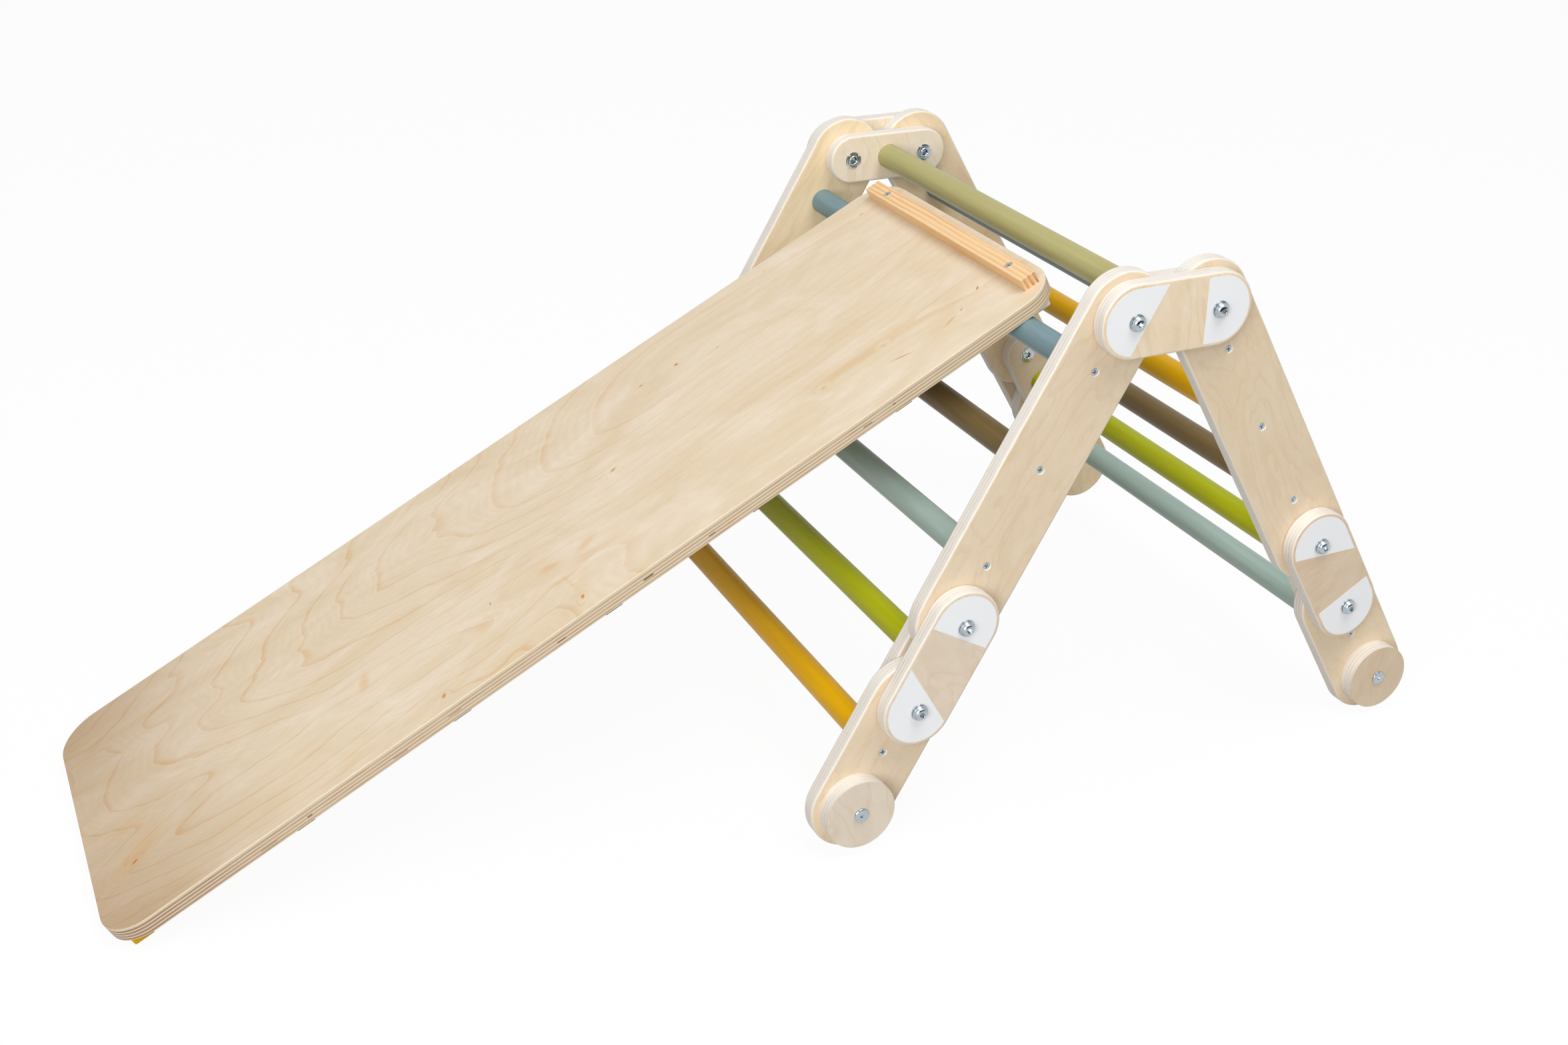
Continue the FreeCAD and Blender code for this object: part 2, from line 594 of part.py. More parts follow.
def ramp_board(screws):
    """The board: rounded corners, eased edges and two screw holes under the stop."""
    body = doc.addObject("PartDesign::Body", "ramp_board")
    blank = pad(body, rectangle(body, "ramp_bottom", "ramp_top", "ramp_width"), "ply_thickness")
    round_edges(body, blank, lambda edge: not is_level(edge), "ramp_corner_radius")
    round_edges(body, body.Tip, is_level, "ramp_easing")
    bore(body, "ScrewHoles", screws, cell("screw_hole"))
    named(body, "ramp_board").Placement = on_ramp(0, 0, 0)


def batten(label, number, screws):
    """A batten with rounded edges under the board; the last is the hook and takes two screws."""
    body = doc.addObject("PartDesign::Body", label)
    sketch = rectangle(body, "hook_start", "hook_end", "batten_length")
    blank = pad(body, sketch, "batten_thickness")
    floor = Part.Precision.confusion()
    round_edges(body, blank, lambda edge: edge.BoundBox.ZMin < floor, "batten_rounding")
    last = len(BATTENS) - 1
    if number == last:
        top = f"Sizes.batten_thickness - {cell('stop_screw_grip')}"
        pilot = body.newObject("PartDesign::Pocket", "PilotHoles")
        pilot.Profile = circles(body, "PilotPlaces", screws, cell("screw_hole"), top)
        pilot.Reversed = True
        pilot.Type = "ThroughAll"
    step = (value("hook_start") - value("first_batten")) / last
    named(body, label).Placement = on_ramp((number - last) * step, 0, -value("batten_thickness"))


def pine_stop(screws):
    """The stop on top of the ramp, above the hook, with bores that hide its screws' heads."""
    body = doc.addObject("PartDesign::Body", "ramp_pine_stop")
    blank = pad(body, rectangle(body, "stop_start", "hook_end", "stop_length"), "stop_height")
    floor = Part.Precision.confusion()
    round_edges(body, blank, lambda edge: edge.BoundBox.ZMax > floor, "stop_easing")
    bore(body, "ScrewHoles", screws, cell("screw_hole"))
    deep = body.newObject("PartDesign::Pocket", "HeadBores")
    deep.Profile = circles(body, "HeadBorePlaces", screws, cell("stop_bore"), cell("stop_height"))
    bind(deep, Length=cell("stop_bore_depth"))
    named(body, "ramp_pine_stop").Placement = on_ramp(0, 0, value("ply_thickness"))


# The side frames
link_starts = {
    "top_link": (on_leg("front", 0), V(1, 0, 0)),
    "front_link": (on_leg("front", value("upper_leg_pivots")), heading("front")),
    "back_link": (on_leg("back", value("upper_leg_pivots")), heading("back")),
}
for side in SIDES:
    for end in LEG_HEADINGS:
        upper_leg(end, side)
        lower_leg(end, side)
        foot_disc(end, side)
    for link, (pivot, along) in link_starts.items():
        link_plates(link, side, pivot, along)

# The rungs
leg_half = f"{cell('leg_inner')} + Sizes.rung_socket_depth - Sizes.rung_end_play"
link_half = f"{cell('inner_plate_inner')} + Sizes.link_socket_depth - Sizes.rung_end_play"
upper_rungs = {end: [on_leg(end, value(place)) for place in UPPER_RUNGS] for end in LEG_HEADINGS}
lower_rungs = {
    end: on_leg(end, value("upper_leg_pivots") + value("link_pivots") + value("lower_rung"))
    for end in LEG_HEADINGS
}
link_rungs = {
    link: pivot + along * value("link_middle") for link, (pivot, along) in link_starts.items()
}
for end in LEG_HEADINGS:
    for name, point in zip(("first", "second", "third"), upper_rungs[end]):
        rung(f"{end}_{name}_rung", point, leg_half, cell("leg_pilot"))
    rung(f"{end}_lower_rung", lower_rungs[end], leg_half, cell("leg_pilot"))
for link, point in link_rungs.items():
    rung(f"{link}_rung", point, link_half, cell("link_pilot"))

# The fasteners
screw, bolt, plain_washer, nut = wood_screw(cell("rung_screw_length")), pivot_bolt(), washer(), tee_nut()
disc_bolt, disc_nut = foot_bolt(), foot_nut()
for link, (pivot, along) in link_starts.items():
    pivots = (pivot, pivot + along * value("link_pivots"))
    face = value("outer_plate_outer")
    group(f"{link}_pivot_bolts", [
        (piece, facing(point, face, side))
        for piece in (bolt, plain_washer) for point in pivots for side in SIDES
    ])
    nuts = [(nut, facing(point, value("inner_plate_inner"), side, inwards=True))
            for point in pivots for side in SIDES]
    depth = value("inner_plate_outer") - value("screw_seat")
    screws = [(screw, facing(link_rungs[link], depth, side)) for side in SIDES]
    group(f"{link}_nuts_and_screws", nuts + screws)
for end in LEG_HEADINGS:
    foot = on_leg(end, value("leg_reach"))
    disc_face = value("leg_outer") + value("ply_thickness")
    group(f"{end}_foot_bolts", [(disc_bolt, facing(foot, disc_face, side)) for side in SIDES])
    group(f"{end}_foot_nuts",
          [(disc_nut, facing(foot, value("leg_inner"), side, inwards=True)) for side in SIDES])
    rung_screws(f"{end}_upper_rung_screws", screw, upper_rungs[end], value("leg_outer"))
    rung_screws(f"{end}_lower_rung_screws", screw, [lower_rungs[end]], value("leg_outer"))

# The ramp
stop_screws = [(cell("stop_middle"), f"{sign} * {cell('stop_screw_place')}") for sign in (-1, 1)]
ramp_board(stop_screws)
for number, colour in enumerate(BATTENS):
    batten(f"ramp_{colour}_batten", number, stop_screws)
pine_stop(stop_screws)
long_screw = wood_screw(cell("stop_screw_length"))
head_height = value("ply_thickness") + value("stop_height") - value("stop_screw_seat")
group("ramp_screws", [
    (long_screw, on_ramp(value("stop_middle"), sign * value("stop_screw_place"), head_height))
    for sign in (-1, 1)
])

doc.recompute()

# Nothing is written unless every object is sound
for thing in doc.Objects:
    if "Invalid" in thing.State or "Error" in thing.State:
        raise RuntimeError(f"{thing.Label} failed: {thing.State}")
for piece in subparts:
    if piece.Shape.isNull() or not piece.Shape.isValid() or not piece.Shape.Solids:
        raise RuntimeError(f"{piece.Label} has no sound solid")

os.makedirs("parts", exist_ok=True)
for piece in subparts:
    piece.Shape.exportStep(os.path.join("parts", piece.Label + ".step"))
print(f"{len(subparts)} sub-parts, ramp pitch {value('ramp_pitch'):.2f} degrees,"
      f" top pivots at {value('top_height'):.1f} mm")
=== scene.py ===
# %% [markdown]
# # A folding climbing triangle with a ramp
#
# The object is a toy for small children to climb on: two side frames of birch plywood, painted
# round rungs between them, and a plywood ramp that hooks over the highest front rung.
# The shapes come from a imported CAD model, so this lesson is about looks: wood that shows its
# plies, paint, pine, zinc-plated steel and a few thin white films.
# Lengths are metres, +X runs from the ramp's side to the back, Y along the rungs and Z up.

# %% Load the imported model
import json
import math

import bmesh
import bpy
import numpy as np
from mathutils import Matrix, Vector


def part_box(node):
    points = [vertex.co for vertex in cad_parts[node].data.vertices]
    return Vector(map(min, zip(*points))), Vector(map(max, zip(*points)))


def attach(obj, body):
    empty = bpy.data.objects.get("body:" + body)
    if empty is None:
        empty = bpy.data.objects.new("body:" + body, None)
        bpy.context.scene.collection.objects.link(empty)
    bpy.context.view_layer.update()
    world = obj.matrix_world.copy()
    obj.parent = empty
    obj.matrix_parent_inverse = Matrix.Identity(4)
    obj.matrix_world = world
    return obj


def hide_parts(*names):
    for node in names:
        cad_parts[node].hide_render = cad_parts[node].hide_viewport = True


MM = 0.001
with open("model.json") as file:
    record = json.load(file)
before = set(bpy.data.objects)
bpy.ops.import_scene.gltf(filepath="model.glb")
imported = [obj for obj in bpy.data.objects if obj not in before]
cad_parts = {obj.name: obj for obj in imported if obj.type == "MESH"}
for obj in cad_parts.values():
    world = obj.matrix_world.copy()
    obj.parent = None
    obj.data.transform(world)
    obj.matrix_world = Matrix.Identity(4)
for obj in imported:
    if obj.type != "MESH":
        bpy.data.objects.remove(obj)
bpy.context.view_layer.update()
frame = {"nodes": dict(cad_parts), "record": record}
nodes = frame["nodes"]

# %% [markdown]
# ## The camera
#
# The view was found by fitting one camera to measured points of the photograph: pivots, rung
# ends and the ramp's corners.  A camera can be aimed with a constraint, but the fit gives its
# three axes, so they go straight into its matrix.  The photograph was cropped a little off its
# optical centre, which the shift values repeat.

# %% Camera
view_right = (0.904470, -0.426248, 0.015689)
view_up = (0.160398, 0.373976, 0.913463)
view_back = (-0.395229, -0.823684, 0.406620)
view_place = Vector((-1.128399, -1.810334, 1.220773))


def new_object(name, data):
    """An object that shows this data, linked to the scene."""
    made = bpy.data.objects.new(name, data)
    bpy.context.scene.collection.objects.link(made)
    return made


camera_data = bpy.data.cameras.new("photo_camera")
camera_data.sensor_width = 36.0
camera_data.lens = 44.766
camera_data.shift_x = -0.00668
camera_data.shift_y = -0.05729
camera = new_object("photo_camera", camera_data)
view_turn = Matrix((view_right, view_up, view_back)).transposed()
camera.matrix_world = Matrix.Translation(view_place) @ view_turn.to_4x4()
bpy.context.scene.camera = camera
bpy.context.scene.view_settings.view_transform = "Standard"
print(f"camera at {tuple(round(v, 3) for v in view_place)}, lens {camera_data.lens} mm")

# %% [markdown]
# ## Helpers for materials
#
# Colours are written as the hex values that a paint program shows.  Blender's shaders work in
# linear light, so one function turns them round.  Another adds a shader node: it sets what the
# node needs and links it, so each material below reads as a list of steps.  A Mix node has sockets
# for every kind of data: for colours, socket 0 is the share, 6 and 7 are the two colours, and the
# result is output 2.  The sizes of a pattern's features are given in millimetres, and a third
# function turns them into the scale that a Mapping node needs.  The last one starts a material.


# %% Colours, nodes and scales
def linear(hex_colour):
    """Linear RGBA of an sRGB hex colour such as '#e8d5b7'."""
    coded = np.array([int(hex_colour[i:i + 2], 16) for i in (1, 3, 5)]) / 255
    light = np.where(coded <= 0.04045, coded / 12.92, ((coded + 0.055) / 1.055) ** 2.4)
    return (*(float(channel) for channel in light), 1.0)


def add(tree, kind, sockets=None, **settings):
    """Add a node: settings are its own values, sockets are numbers to set or outputs to link."""
    made = tree.nodes.new(kind)
    for name, value in settings.items():
        setattr(made, name, value)
    for name, value in (sockets or {}).items():
        if isinstance(value, bpy.types.NodeSocket):
            tree.links.new(value, made.inputs[name])
        else:
            made.inputs[name].default_value = value
    return made


def repeat_every(*sizes):
    """Scale of a pattern whose features come every so many millimetres along X, Y and Z."""
    return tuple(1.0 / (size * MM) for size in sizes)


def blank_material(name):
    """A new material and its node tree, emptied of the nodes that Blender puts in."""
    material = bpy.data.materials.new(name)
    material.use_nodes = True
    material.node_tree.nodes.clear()
    return material, material.node_tree


print(f"plain birch is {tuple(round(v, 3) for v in linear('#e8d5b7'))} in linear light")

# %% [markdown]
# ## Floor and light
#
# The photograph is a studio picture on white.  The floor and the sky are white to the camera and
# in reflections, by Light Path, so no extra lamp is needed to bleach them.  A little plain paint
# stays in the floor and keeps a faint shadow.  The light that it throws back at the object is that
# of a mid grey, because the undersides of the rungs are dark in the photograph.  The object gets
# soft light: a weak sky all round, a large box lamp above, a little to the right, and another in
# front on the left.

# %% Sky
SKY_STRENGTH = 0.32


def seen_directly(tree):
    """1 where the camera looks, straight or by way of a mirror or glass, and 0 where light is gathered."""
    path = add(tree, "ShaderNodeLightPath").outputs
    shiny = add(tree, "ShaderNodeMath", {0: path["Is Camera Ray"], 1: path["Is Glossy Ray"]},
                operation="MAXIMUM").outputs[0]
    return add(tree, "ShaderNodeMath", {0: shiny, 1: path["Is Transmission Ray"]},
               operation="MAXIMUM").outputs[0]


world = bpy.data.worlds.new("studio")
bpy.context.scene.world = world
world.use_nodes = True
tree = world.node_tree
tree.nodes.clear()
soft = add(tree, "ShaderNodeBackground", {"Color": linear("#ffffff"), "Strength": SKY_STRENGTH})
white = add(tree, "ShaderNodeBackground", {"Color": linear("#ffffff"), "Strength": 1.0})
mixed = add(tree, "ShaderNodeMixShader", {0: seen_directly(tree), 1: soft.outputs[0], 2: white.outputs[0]})
add(tree, "ShaderNodeOutputWorld", {"Surface": mixed.outputs[0]})
print(f"sky that lights with strength {SKY_STRENGTH} and is seen as white")

# %% Lamps
LIT_POINT = (-0.2, 0.0, 0.3)


def box_lamp(name, place, size, power):
    """A square area lamp at a place, turned to the lit point; metres and watts."""
    lamp = bpy.data.lights.new(name, "AREA")
    lamp.shape = "SQUARE"
    lamp.size = size
    lamp.energy = power
    made = new_object(name, lamp)
    aim = (Vector(LIT_POINT) - Vector(place)).to_track_quat("-Z", "Y")
    made.matrix_world = Matrix.Translation(place) @ aim.to_matrix().to_4x4()
    print(f"{name}: {size} m wide, {power} W")


box_lamp("top_box", (0.05, -1.31, 3.93), 2.4, 85.0)
box_lamp("left_box", (-3.95, -4.0, 2.3), 3.2, 188.0)

# %% Floor
FLOOR_HALF = 14.0
FLOOR_DROP = 0.4 * MM
FLOOR_GLOW = 0.95


def flat_sheet(name, corners, material):
    """A flat sheet of the studio, with four corners in metres."""
    mesh = bpy.data.meshes.new(name)
    mesh.from_pydata(corners, [], [(0, 1, 2, 3)])
    mesh.materials.append(material)
    return new_object(name, mesh)


floor_paint, tree = blank_material("white_studio_floor")
seen = seen_directly(tree)
share = add(tree, "ShaderNodeMath", {0: seen, 1: FLOOR_GLOW}, operation="MULTIPLY").outputs[0]
shade = add(tree, "ShaderNodeMix", {0: seen, 6: linear("#aeaba6"), 7: linear("#ffffff")},
            data_type="RGBA").outputs[2]
paint = add(tree, "ShaderNodeBsdfDiffuse", {"Color": shade})
glow = add(tree, "ShaderNodeEmission", {"Color": linear("#ffffff"), "Strength": 1.0})
mixed = add(tree, "ShaderNodeMixShader", {0: share, 1: paint.outputs[0], 2: glow.outputs[0]})
add(tree, "ShaderNodeOutputMaterial", {"Surface": mixed.outputs[0]})
signs = ((-1, -1), (1, -1), (1, 1), (-1, 1))
floor = flat_sheet("floor", [(x * FLOOR_HALF, y * FLOOR_HALF, -FLOOR_DROP) for x, y in signs], floor_paint)
print(f"floor {2 * FLOOR_HALF} m wide")

# %% [markdown]
# ## A dark card for the metal
#
# Bright metal in an all-white room looks like grey paint, so photographers stand a dark card in
# front of it.  This one is seen by reflections only: it casts no shadow and no camera sees it.  It
# hangs clear of the floor, so that flat screw heads still mirror the white.

# %% Dark card
card_paint, tree = blank_material("dark_grey_card")
shader = add(tree, "ShaderNodeBsdfDiffuse", {"Color": linear("#2e3136")})
add(tree, "ShaderNodeOutputMaterial", {"Surface": shader.outputs[0]})
card_corners = [(-0.7, -1.2, 0.28), (1.3, -1.2, 0.28), (1.3, -1.35, 0.95), (-0.7, -1.35, 0.95)]
card = flat_sheet("dark_card", card_corners, card_paint)
card.visible_camera = False
card.visible_diffuse = False
card.visible_shadow = False
card.visible_transmission = False
print("dark card 2 m wide, for reflections only")

# %% [markdown]
# ## Birch plywood of the side frames
#
# Birch plywood is a stack of thin birch sheets whose grain runs crosswise in turn.  Nine of them
# show at the edge of these plates, the two outside ones sanded to half.  A picture could be
# wrapped round each plate, but a solid texture is closer to the truth: the colour depends on how
# deep a point lies in the stack, so every rounded edge cuts through the plies by itself.  The face
# is rotary cut, so its figure is like the contour lines of a gentle landscape, drawn out along the
# grain.  The grain of a leg runs along it, and that of a link plate runs across.

# %% Plies of the legs and plates
PLY_STEPS = 8
SHEET_PITCH = 18.1 * MM
HALF_GAP = 0.05 * MM
LEG_INNER = 300.0 * MM


def ply_depth(tree, place):
    """How deep a point lies in its sheet, counted in plies from 0 to 8.

    It is the fraction that is left of (|y| - start of the first sheet) / pitch, times eight.
    """
    deep = add(tree, "ShaderNodeSeparateXYZ", {0: place}).outputs["Y"]
    steps = (("ABSOLUTE", 0.0), ("SUBTRACT", LEG_INNER - HALF_GAP), ("DIVIDE", SHEET_PITCH), ("FRACT", 0.0),
             ("MULTIPLY", PLY_STEPS))
    for operation, number in steps:
        deep = add(tree, "ShaderNodeMath", {0: deep, 1: number}, operation=operation).outputs[0]
    return deep


print(f"plies of {SHEET_PITCH / PLY_STEPS / MM:.2f} mm")


# %% Faces of the legs and plates
def face_figure(tree, along, deep_tone, pale_tone):
    """Colour of a rotary-cut face, and the clouds and flecks that it was made with."""
    # Thin contour lines in a landscape of noise, one every few centimetres across the grain
    wide = add(tree, "ShaderNodeMapping", {
        "Vector": along, "Scale": repeat_every(250.0, 111.1, 76.92)}).outputs[0]
    hills = add(tree, "ShaderNodeTexNoise", {"Vector": wide, "Scale": 1.0, "Detail": 4.0, "Roughness": 0.45,
                                             "Distortion": 0.5}).outputs[0]
    rings = add(tree, "ShaderNodeMath", {0: hills, 1: 12.0}, operation="MULTIPLY").outputs[0]
    rings = add(tree, "ShaderNodeMath", {0: rings}, operation="FRACT").outputs[0]
    line = add(tree, "ShaderNodeMapRange", {"Value": rings, "From Min": 0.6, "From Max": 1.0,
                                            "To Max": 0.16},
               interpolation_type="SMOOTHERSTEP").outputs[0]
    # Clouds of about two centimetres, and flecks drawn a millimetre wide so that they show
    cloud = add(tree, "ShaderNodeMapping", {
        "Vector": along, "Scale": repeat_every(45.45, 33.33, 20.83)}).outputs[0]
    cloud = add(tree, "ShaderNodeTexNoise", {"Vector": cloud, "Scale": 1.0, "Detail": 4.0,
                                             "Distortion": 0.6}).outputs[0]
    tone = add(tree, "ShaderNodeMapRange", {"Value": cloud, "From Min": 0.3, "From Max": 0.7}).outputs[0]
    fleck = add(tree, "ShaderNodeMapping", {
        "Vector": along, "Scale": repeat_every(6.667, 1.4286, 1.25)}).outputs[0]
    fleck = add(tree, "ShaderNodeTexNoise", {"Vector": fleck, "Scale": 1.0, "Detail": 2.0}).outputs[0]
    thin = add(tree, "ShaderNodeMapRange", {"Value": fleck, "From Min": 0.4, "From Max": 0.75,
                                            "To Max": 0.15}).outputs[0]
    face = linear(deep_tone)
    for share, tint in ((tone, pale_tone), (line, "#cda873"), (thin, "#d0b58c")):
        face = add(tree, "ShaderNodeMix", {0: share, 6: face, 7: linear(tint)}, data_type="RGBA").outputs[2]
    return face, tone, fleck


# %% Edges of the legs and plates
def edge_plies(tree, along, deep, inside, tone):
    """Colour of the sawn and rounded edge, from the depth in plies and that from the middle of the sheet.

    It is nearly white: greyer cut ends in every other ply, a thin line of glue between plies, and a
    few dark specks of painted shade where one of the inner plies has a gap.
    """
    ply = add(tree, "ShaderNodeMath", {0: deep}, operation="ROUND").outputs[0]
    cross = add(tree, "ShaderNodeMath", {0: ply, 1: 2.0}, operation="MODULO").outputs[0]
    off = add(tree, "ShaderNodeMath", {0: deep, 1: ply}, operation="SUBTRACT").outputs[0]
    off = add(tree, "ShaderNodeMath", {0: off}, operation="ABSOLUTE").outputs[0]
    ends = add(tree, "ShaderNodeMapRange", {"Value": off, "From Min": 0.10, "From Max": 0.40,
                                            "To Min": 0.62, "To Max": 0.15}).outputs[0]
    glue = add(tree, "ShaderNodeMapRange", {"Value": off, "From Min": 0.42, "From Max": 0.5,
                                            "To Max": 0.26}).outputs[0]
    # Specks of painted shade, where an inner ply has a gap
    gap = add(tree, "ShaderNodeMapping", {
        "Vector": along, "Scale": repeat_every(18.18, 2.0, 18.18)}).outputs[0]
    gap = add(tree, "ShaderNodeTexNoise", {"Vector": gap, "Scale": 1.0, "Detail": 1.0}).outputs[0]
    gap = add(tree, "ShaderNodeMapRange", {"Value": gap, "From Min": 0.72, "From Max": 0.79,
                                           "To Max": 0.6}).outputs[0]
    inner = add(tree, "ShaderNodeMath", {0: inside, 1: 2.0}, operation="LESS_THAN").outputs[0]
    for factor in (cross, tone):
        ends = add(tree, "ShaderNodeMath", {0: ends, 1: factor}, operation="MULTIPLY").outputs[0]
    for factor in (inner, cross):
        gap = add(tree, "ShaderNodeMath", {0: gap, 1: factor}, operation="MULTIPLY").outputs[0]
    edge = linear("#eee8df")
    for share, tint in ((ends, "#c7bbac"), (glue, "#ae9880"), (gap, "#6d5a4a")):
        edge = add(tree, "ShaderNodeMix", {0: share, 6: edge, 7: linear(tint)}, data_type="RGBA").outputs[2]
    return edge


# %% Plywood of the legs and plates
def birch_plywood(name, lean, deep_tone, pale_tone):
    """Pale lacquered birch plywood, its plies stacked along Y, its grain leaning by an angle in degrees."""
    material, tree = blank_material(name)
    place = add(tree, "ShaderNodeTexCoord").outputs["Object"]
    along = add(tree, "ShaderNodeMapping", {"Vector": place, "Rotation": (0.0, math.radians(lean), 0.0)},
                vector_type="TEXTURE").outputs[0]
    deep = ply_depth(tree, place)
    inside = add(tree, "ShaderNodeMath", {0: deep, 1: PLY_STEPS / 2}, operation="SUBTRACT").outputs[0]
    inside = add(tree, "ShaderNodeMath", {0: inside}, operation="ABSOLUTE").outputs[0]
    face, tone, fleck = face_figure(tree, along, deep_tone, pale_tone)
    edge = edge_plies(tree, along, deep, inside, tone)
    # The face is the outer third of a millimetre on either side, and fades out twice as deep
    skin_deep = add(tree, "ShaderNodeMapRange", {"Value": inside, "From Min": PLY_STEPS / 2 - 0.30,
                                                 "From Max": PLY_STEPS / 2 - 0.14}).outputs[0]
    colour = add(tree, "ShaderNodeMix", {0: skin_deep, 6: edge, 7: face}, data_type="RGBA").outputs[2]
    rough = add(tree, "ShaderNodeMapRange", {"Value": fleck, "To Min": 0.42, "To Max": 0.58}).outputs[0]
    bump = add(tree, "ShaderNodeBump", {"Height": fleck, "Strength": 0.10, "Distance": 0.2 * MM}).outputs[0]
    shader = add(tree, "ShaderNodeBsdfPrincipled", {"Base Color": colour, "Roughness": rough,
                                                    "Normal": bump, "IOR": 1.48})
    add(tree, "ShaderNodeOutputMaterial", {"Surface": shader.outputs[0]})
    return material


# %% Dress the side frames
def dress(material, names):
    """Give these CAD nodes one material in place of the plain one they came with."""
    for name in names:
        nodes[name].data.materials.clear()
        nodes[name].data.materials.append(material)
    print(f"{material.name}: {len(names)} nodes")


# Every sheet has its own tone, and partly painted light: the top plates are paler and the back plates
# and discs darker, painted shade of the light that falls off downwards and towards the back, and the
# left legs warmer and paler, painted bounce light from the ramp and the pine.  Each entry is the grain
# angle, deeper and paler shade of the face, and two parts of the names
SHEETS = {
    "front_right_legs": (-60.0, "#e8d4b6", "#eedcc2", "front_", "_leg_right"),
    "front_left_legs": (-60.0, "#f1dab2", "#f6e3c2", "front_", "_leg_left"),
    "back_right_legs": (60.0, "#e7d3b4", "#ecdabf", "back_", "_leg_right"),
    "back_left_legs": (60.0, "#ecd5ae", "#f2dfbf", "back_", "_leg_left"),
    "top_right_plates": (70.0, "#efd9b5", "#f8e7cf", "top_", "_plate_right"),
    "top_left_plates": (75.0, "#f0e0c6", "#f6e9d5", "top_", "_plate_left"),
    "front_plates": (40.0, "#e5d4be", "#ecdecc", "front_", "_plate_"),
    "back_plates": (-35.0, "#dcc5a9", "#e6d3bb", "back_", "_plate_"),
    "front_discs": (80.0, "#e3d5c1", "#e9decf", "front_", "_disc_"),
    "back_discs": (100.0, "#d8c3a7", "#e1cfb6", "back_", "_disc_"),
}
for sheet, (grain_lean, deep_tone, pale_tone, first_word, later_word) in SHEETS.items():
    dress(birch_plywood(f"birch_plywood_{sheet}", grain_lean, deep_tone, pale_tone),
          [n for n in nodes if n.startswith(first_word) and later_word in n])

# %% [markdown]
# ## The ramp board
#
# The ramp is the same kind of plywood with more contrast: its face is one wide rotary-cut sheet
# with long contour lines, clouds, a few pin knots and a few pale patches of painted light, and its
# sawn edge shows tan end grain with brown rims between cream plies, and short gaps of painted shade
# where an inner sheet did not meet.
# The texture is again solid, in the board's own tilted axes, so face and edge fit at the corners.

# %% Ramp: axes
BOARD = 18.0 * MM
ramp_pitch = math.radians(27.4197)
hook_rung = Vector((-0.0815, 0.0, 0.4914))
ramp_lift = 15.3 * MM
ramp_up = Vector((math.cos(ramp_pitch), 0.0, math.sin(ramp_pitch)))
ramp_out = Vector((-math.sin(ramp_pitch), 0.0, math.cos(ramp_pitch)))
ramp_start = hook_rung + ramp_lift * ramp_out

board_wood, tree = blank_material("birch_plywood_ramp")
place = add(tree, "ShaderNodeTexCoord").outputs["Object"]
along = add(tree, "ShaderNodeMapping", {"Vector": place, "Location": ramp_start,
                                        "Rotation": (0.0, -ramp_pitch, 0.0)},
            vector_type="TEXTURE").outputs[0]
lengthwise, sideways, upwards = add(tree, "ShaderNodeSeparateXYZ", {0: along}).outputs
print(f"ramp axes start at {tuple(round(v, 4) for v in ramp_start)}")

# %% [markdown]
# ## Knots, stains and painted light
#
# Knots in birch are small and brown, and round them the lines part.  They could be scattered by a
# Voronoi texture, but a few real ones stand out on so large a face, so each has its own place: a
# soft ellipse in the ramp's axes.  Stains are larger and fainter ones, and a few pale patches of
# painted light, where the face is brightest, are listed in the same way.

# %% Ramp: knots, stains and painted light
# Millimetres along the ramp and across it, half the length, half the width, turn in degrees, strength
MARKS = (
    (-1045, -104, 9.0, 3.4, 25, 1.0), (-705, -176, 7.0, 4.2, 60, 0.85), (-538, -172, 6.5, 3.6, 70, 0.9),
    (-618, -85, 4.5, 1.8, 80, 0.85), (-430, -4, 7.0, 3.8, 20, 0.8), (-342, 114, 4.5, 2.4, 0, 0.85),
    (-295, 109, 4.0, 3.8, 0, 1.0), (-247, 89, 3.0, 1.8, 0, 0.75), (-205, -109, 5.5, 4.2, 0, 0.5),
    (-125, -107, 4.6, 3.2, 0, 0.5), (-5, 157, 5.0, 2.6, 0, 0.7), (-138, 176, 2.8, 1.4, 0, 0.65),
    (-123, -145, 20.0, 1.4, -19, 0.95), (-58, -142, 19.0, 1.3, 20, 0.8), (-39, -136, 4.0, 1.6, 30, 0.95),
    (-7, -119, 6.0, 2.0, 45, 1.0), (-1046, -45, 34.0, 10.0, 0, 0.24), (-1040, -92, 60.0, 26.0, 35, 0.24),
    (-768, -72, 22.0, 9.0, 75, 0.34), (-503, -94, 24.0, 11.0, 20, 0.36), (-1005, 40, 24.0, 4.0, 80, 0.12),
    (-548, -93, 18.0, 9.0, -10, 0.36), (-540, -140, 32.0, 3.5, 98, 0.20), (-446, -2, 13.0, 1.4, 0, 0.4),
)
# Pale patches of painted light, where the face is brightest, in the same columns as the marks
LIT_PATCHES = (
    (-520, -115, 85.0, 50.0, 60, 0.6), (-600, -10, 70.0, 40.0, 80, 0.3), (-760, -150, 60.0, 35.0, 30, 0.4),
    (-850, 60, 90.0, 30.0, 70, 0.3), (-330, 60, 110.0, 25.0, 10, 0.25),
)
# A mark that is longer is a stain, and one that is thinner is a streak; the rest are knots
KNOT_LONGEST = 10.0
KNOT_THINNEST = 2.3
KNOT_RISE = 8.0 * MM
# So large a size through the board that depth does not count
ANY_DEPTH = 100.0


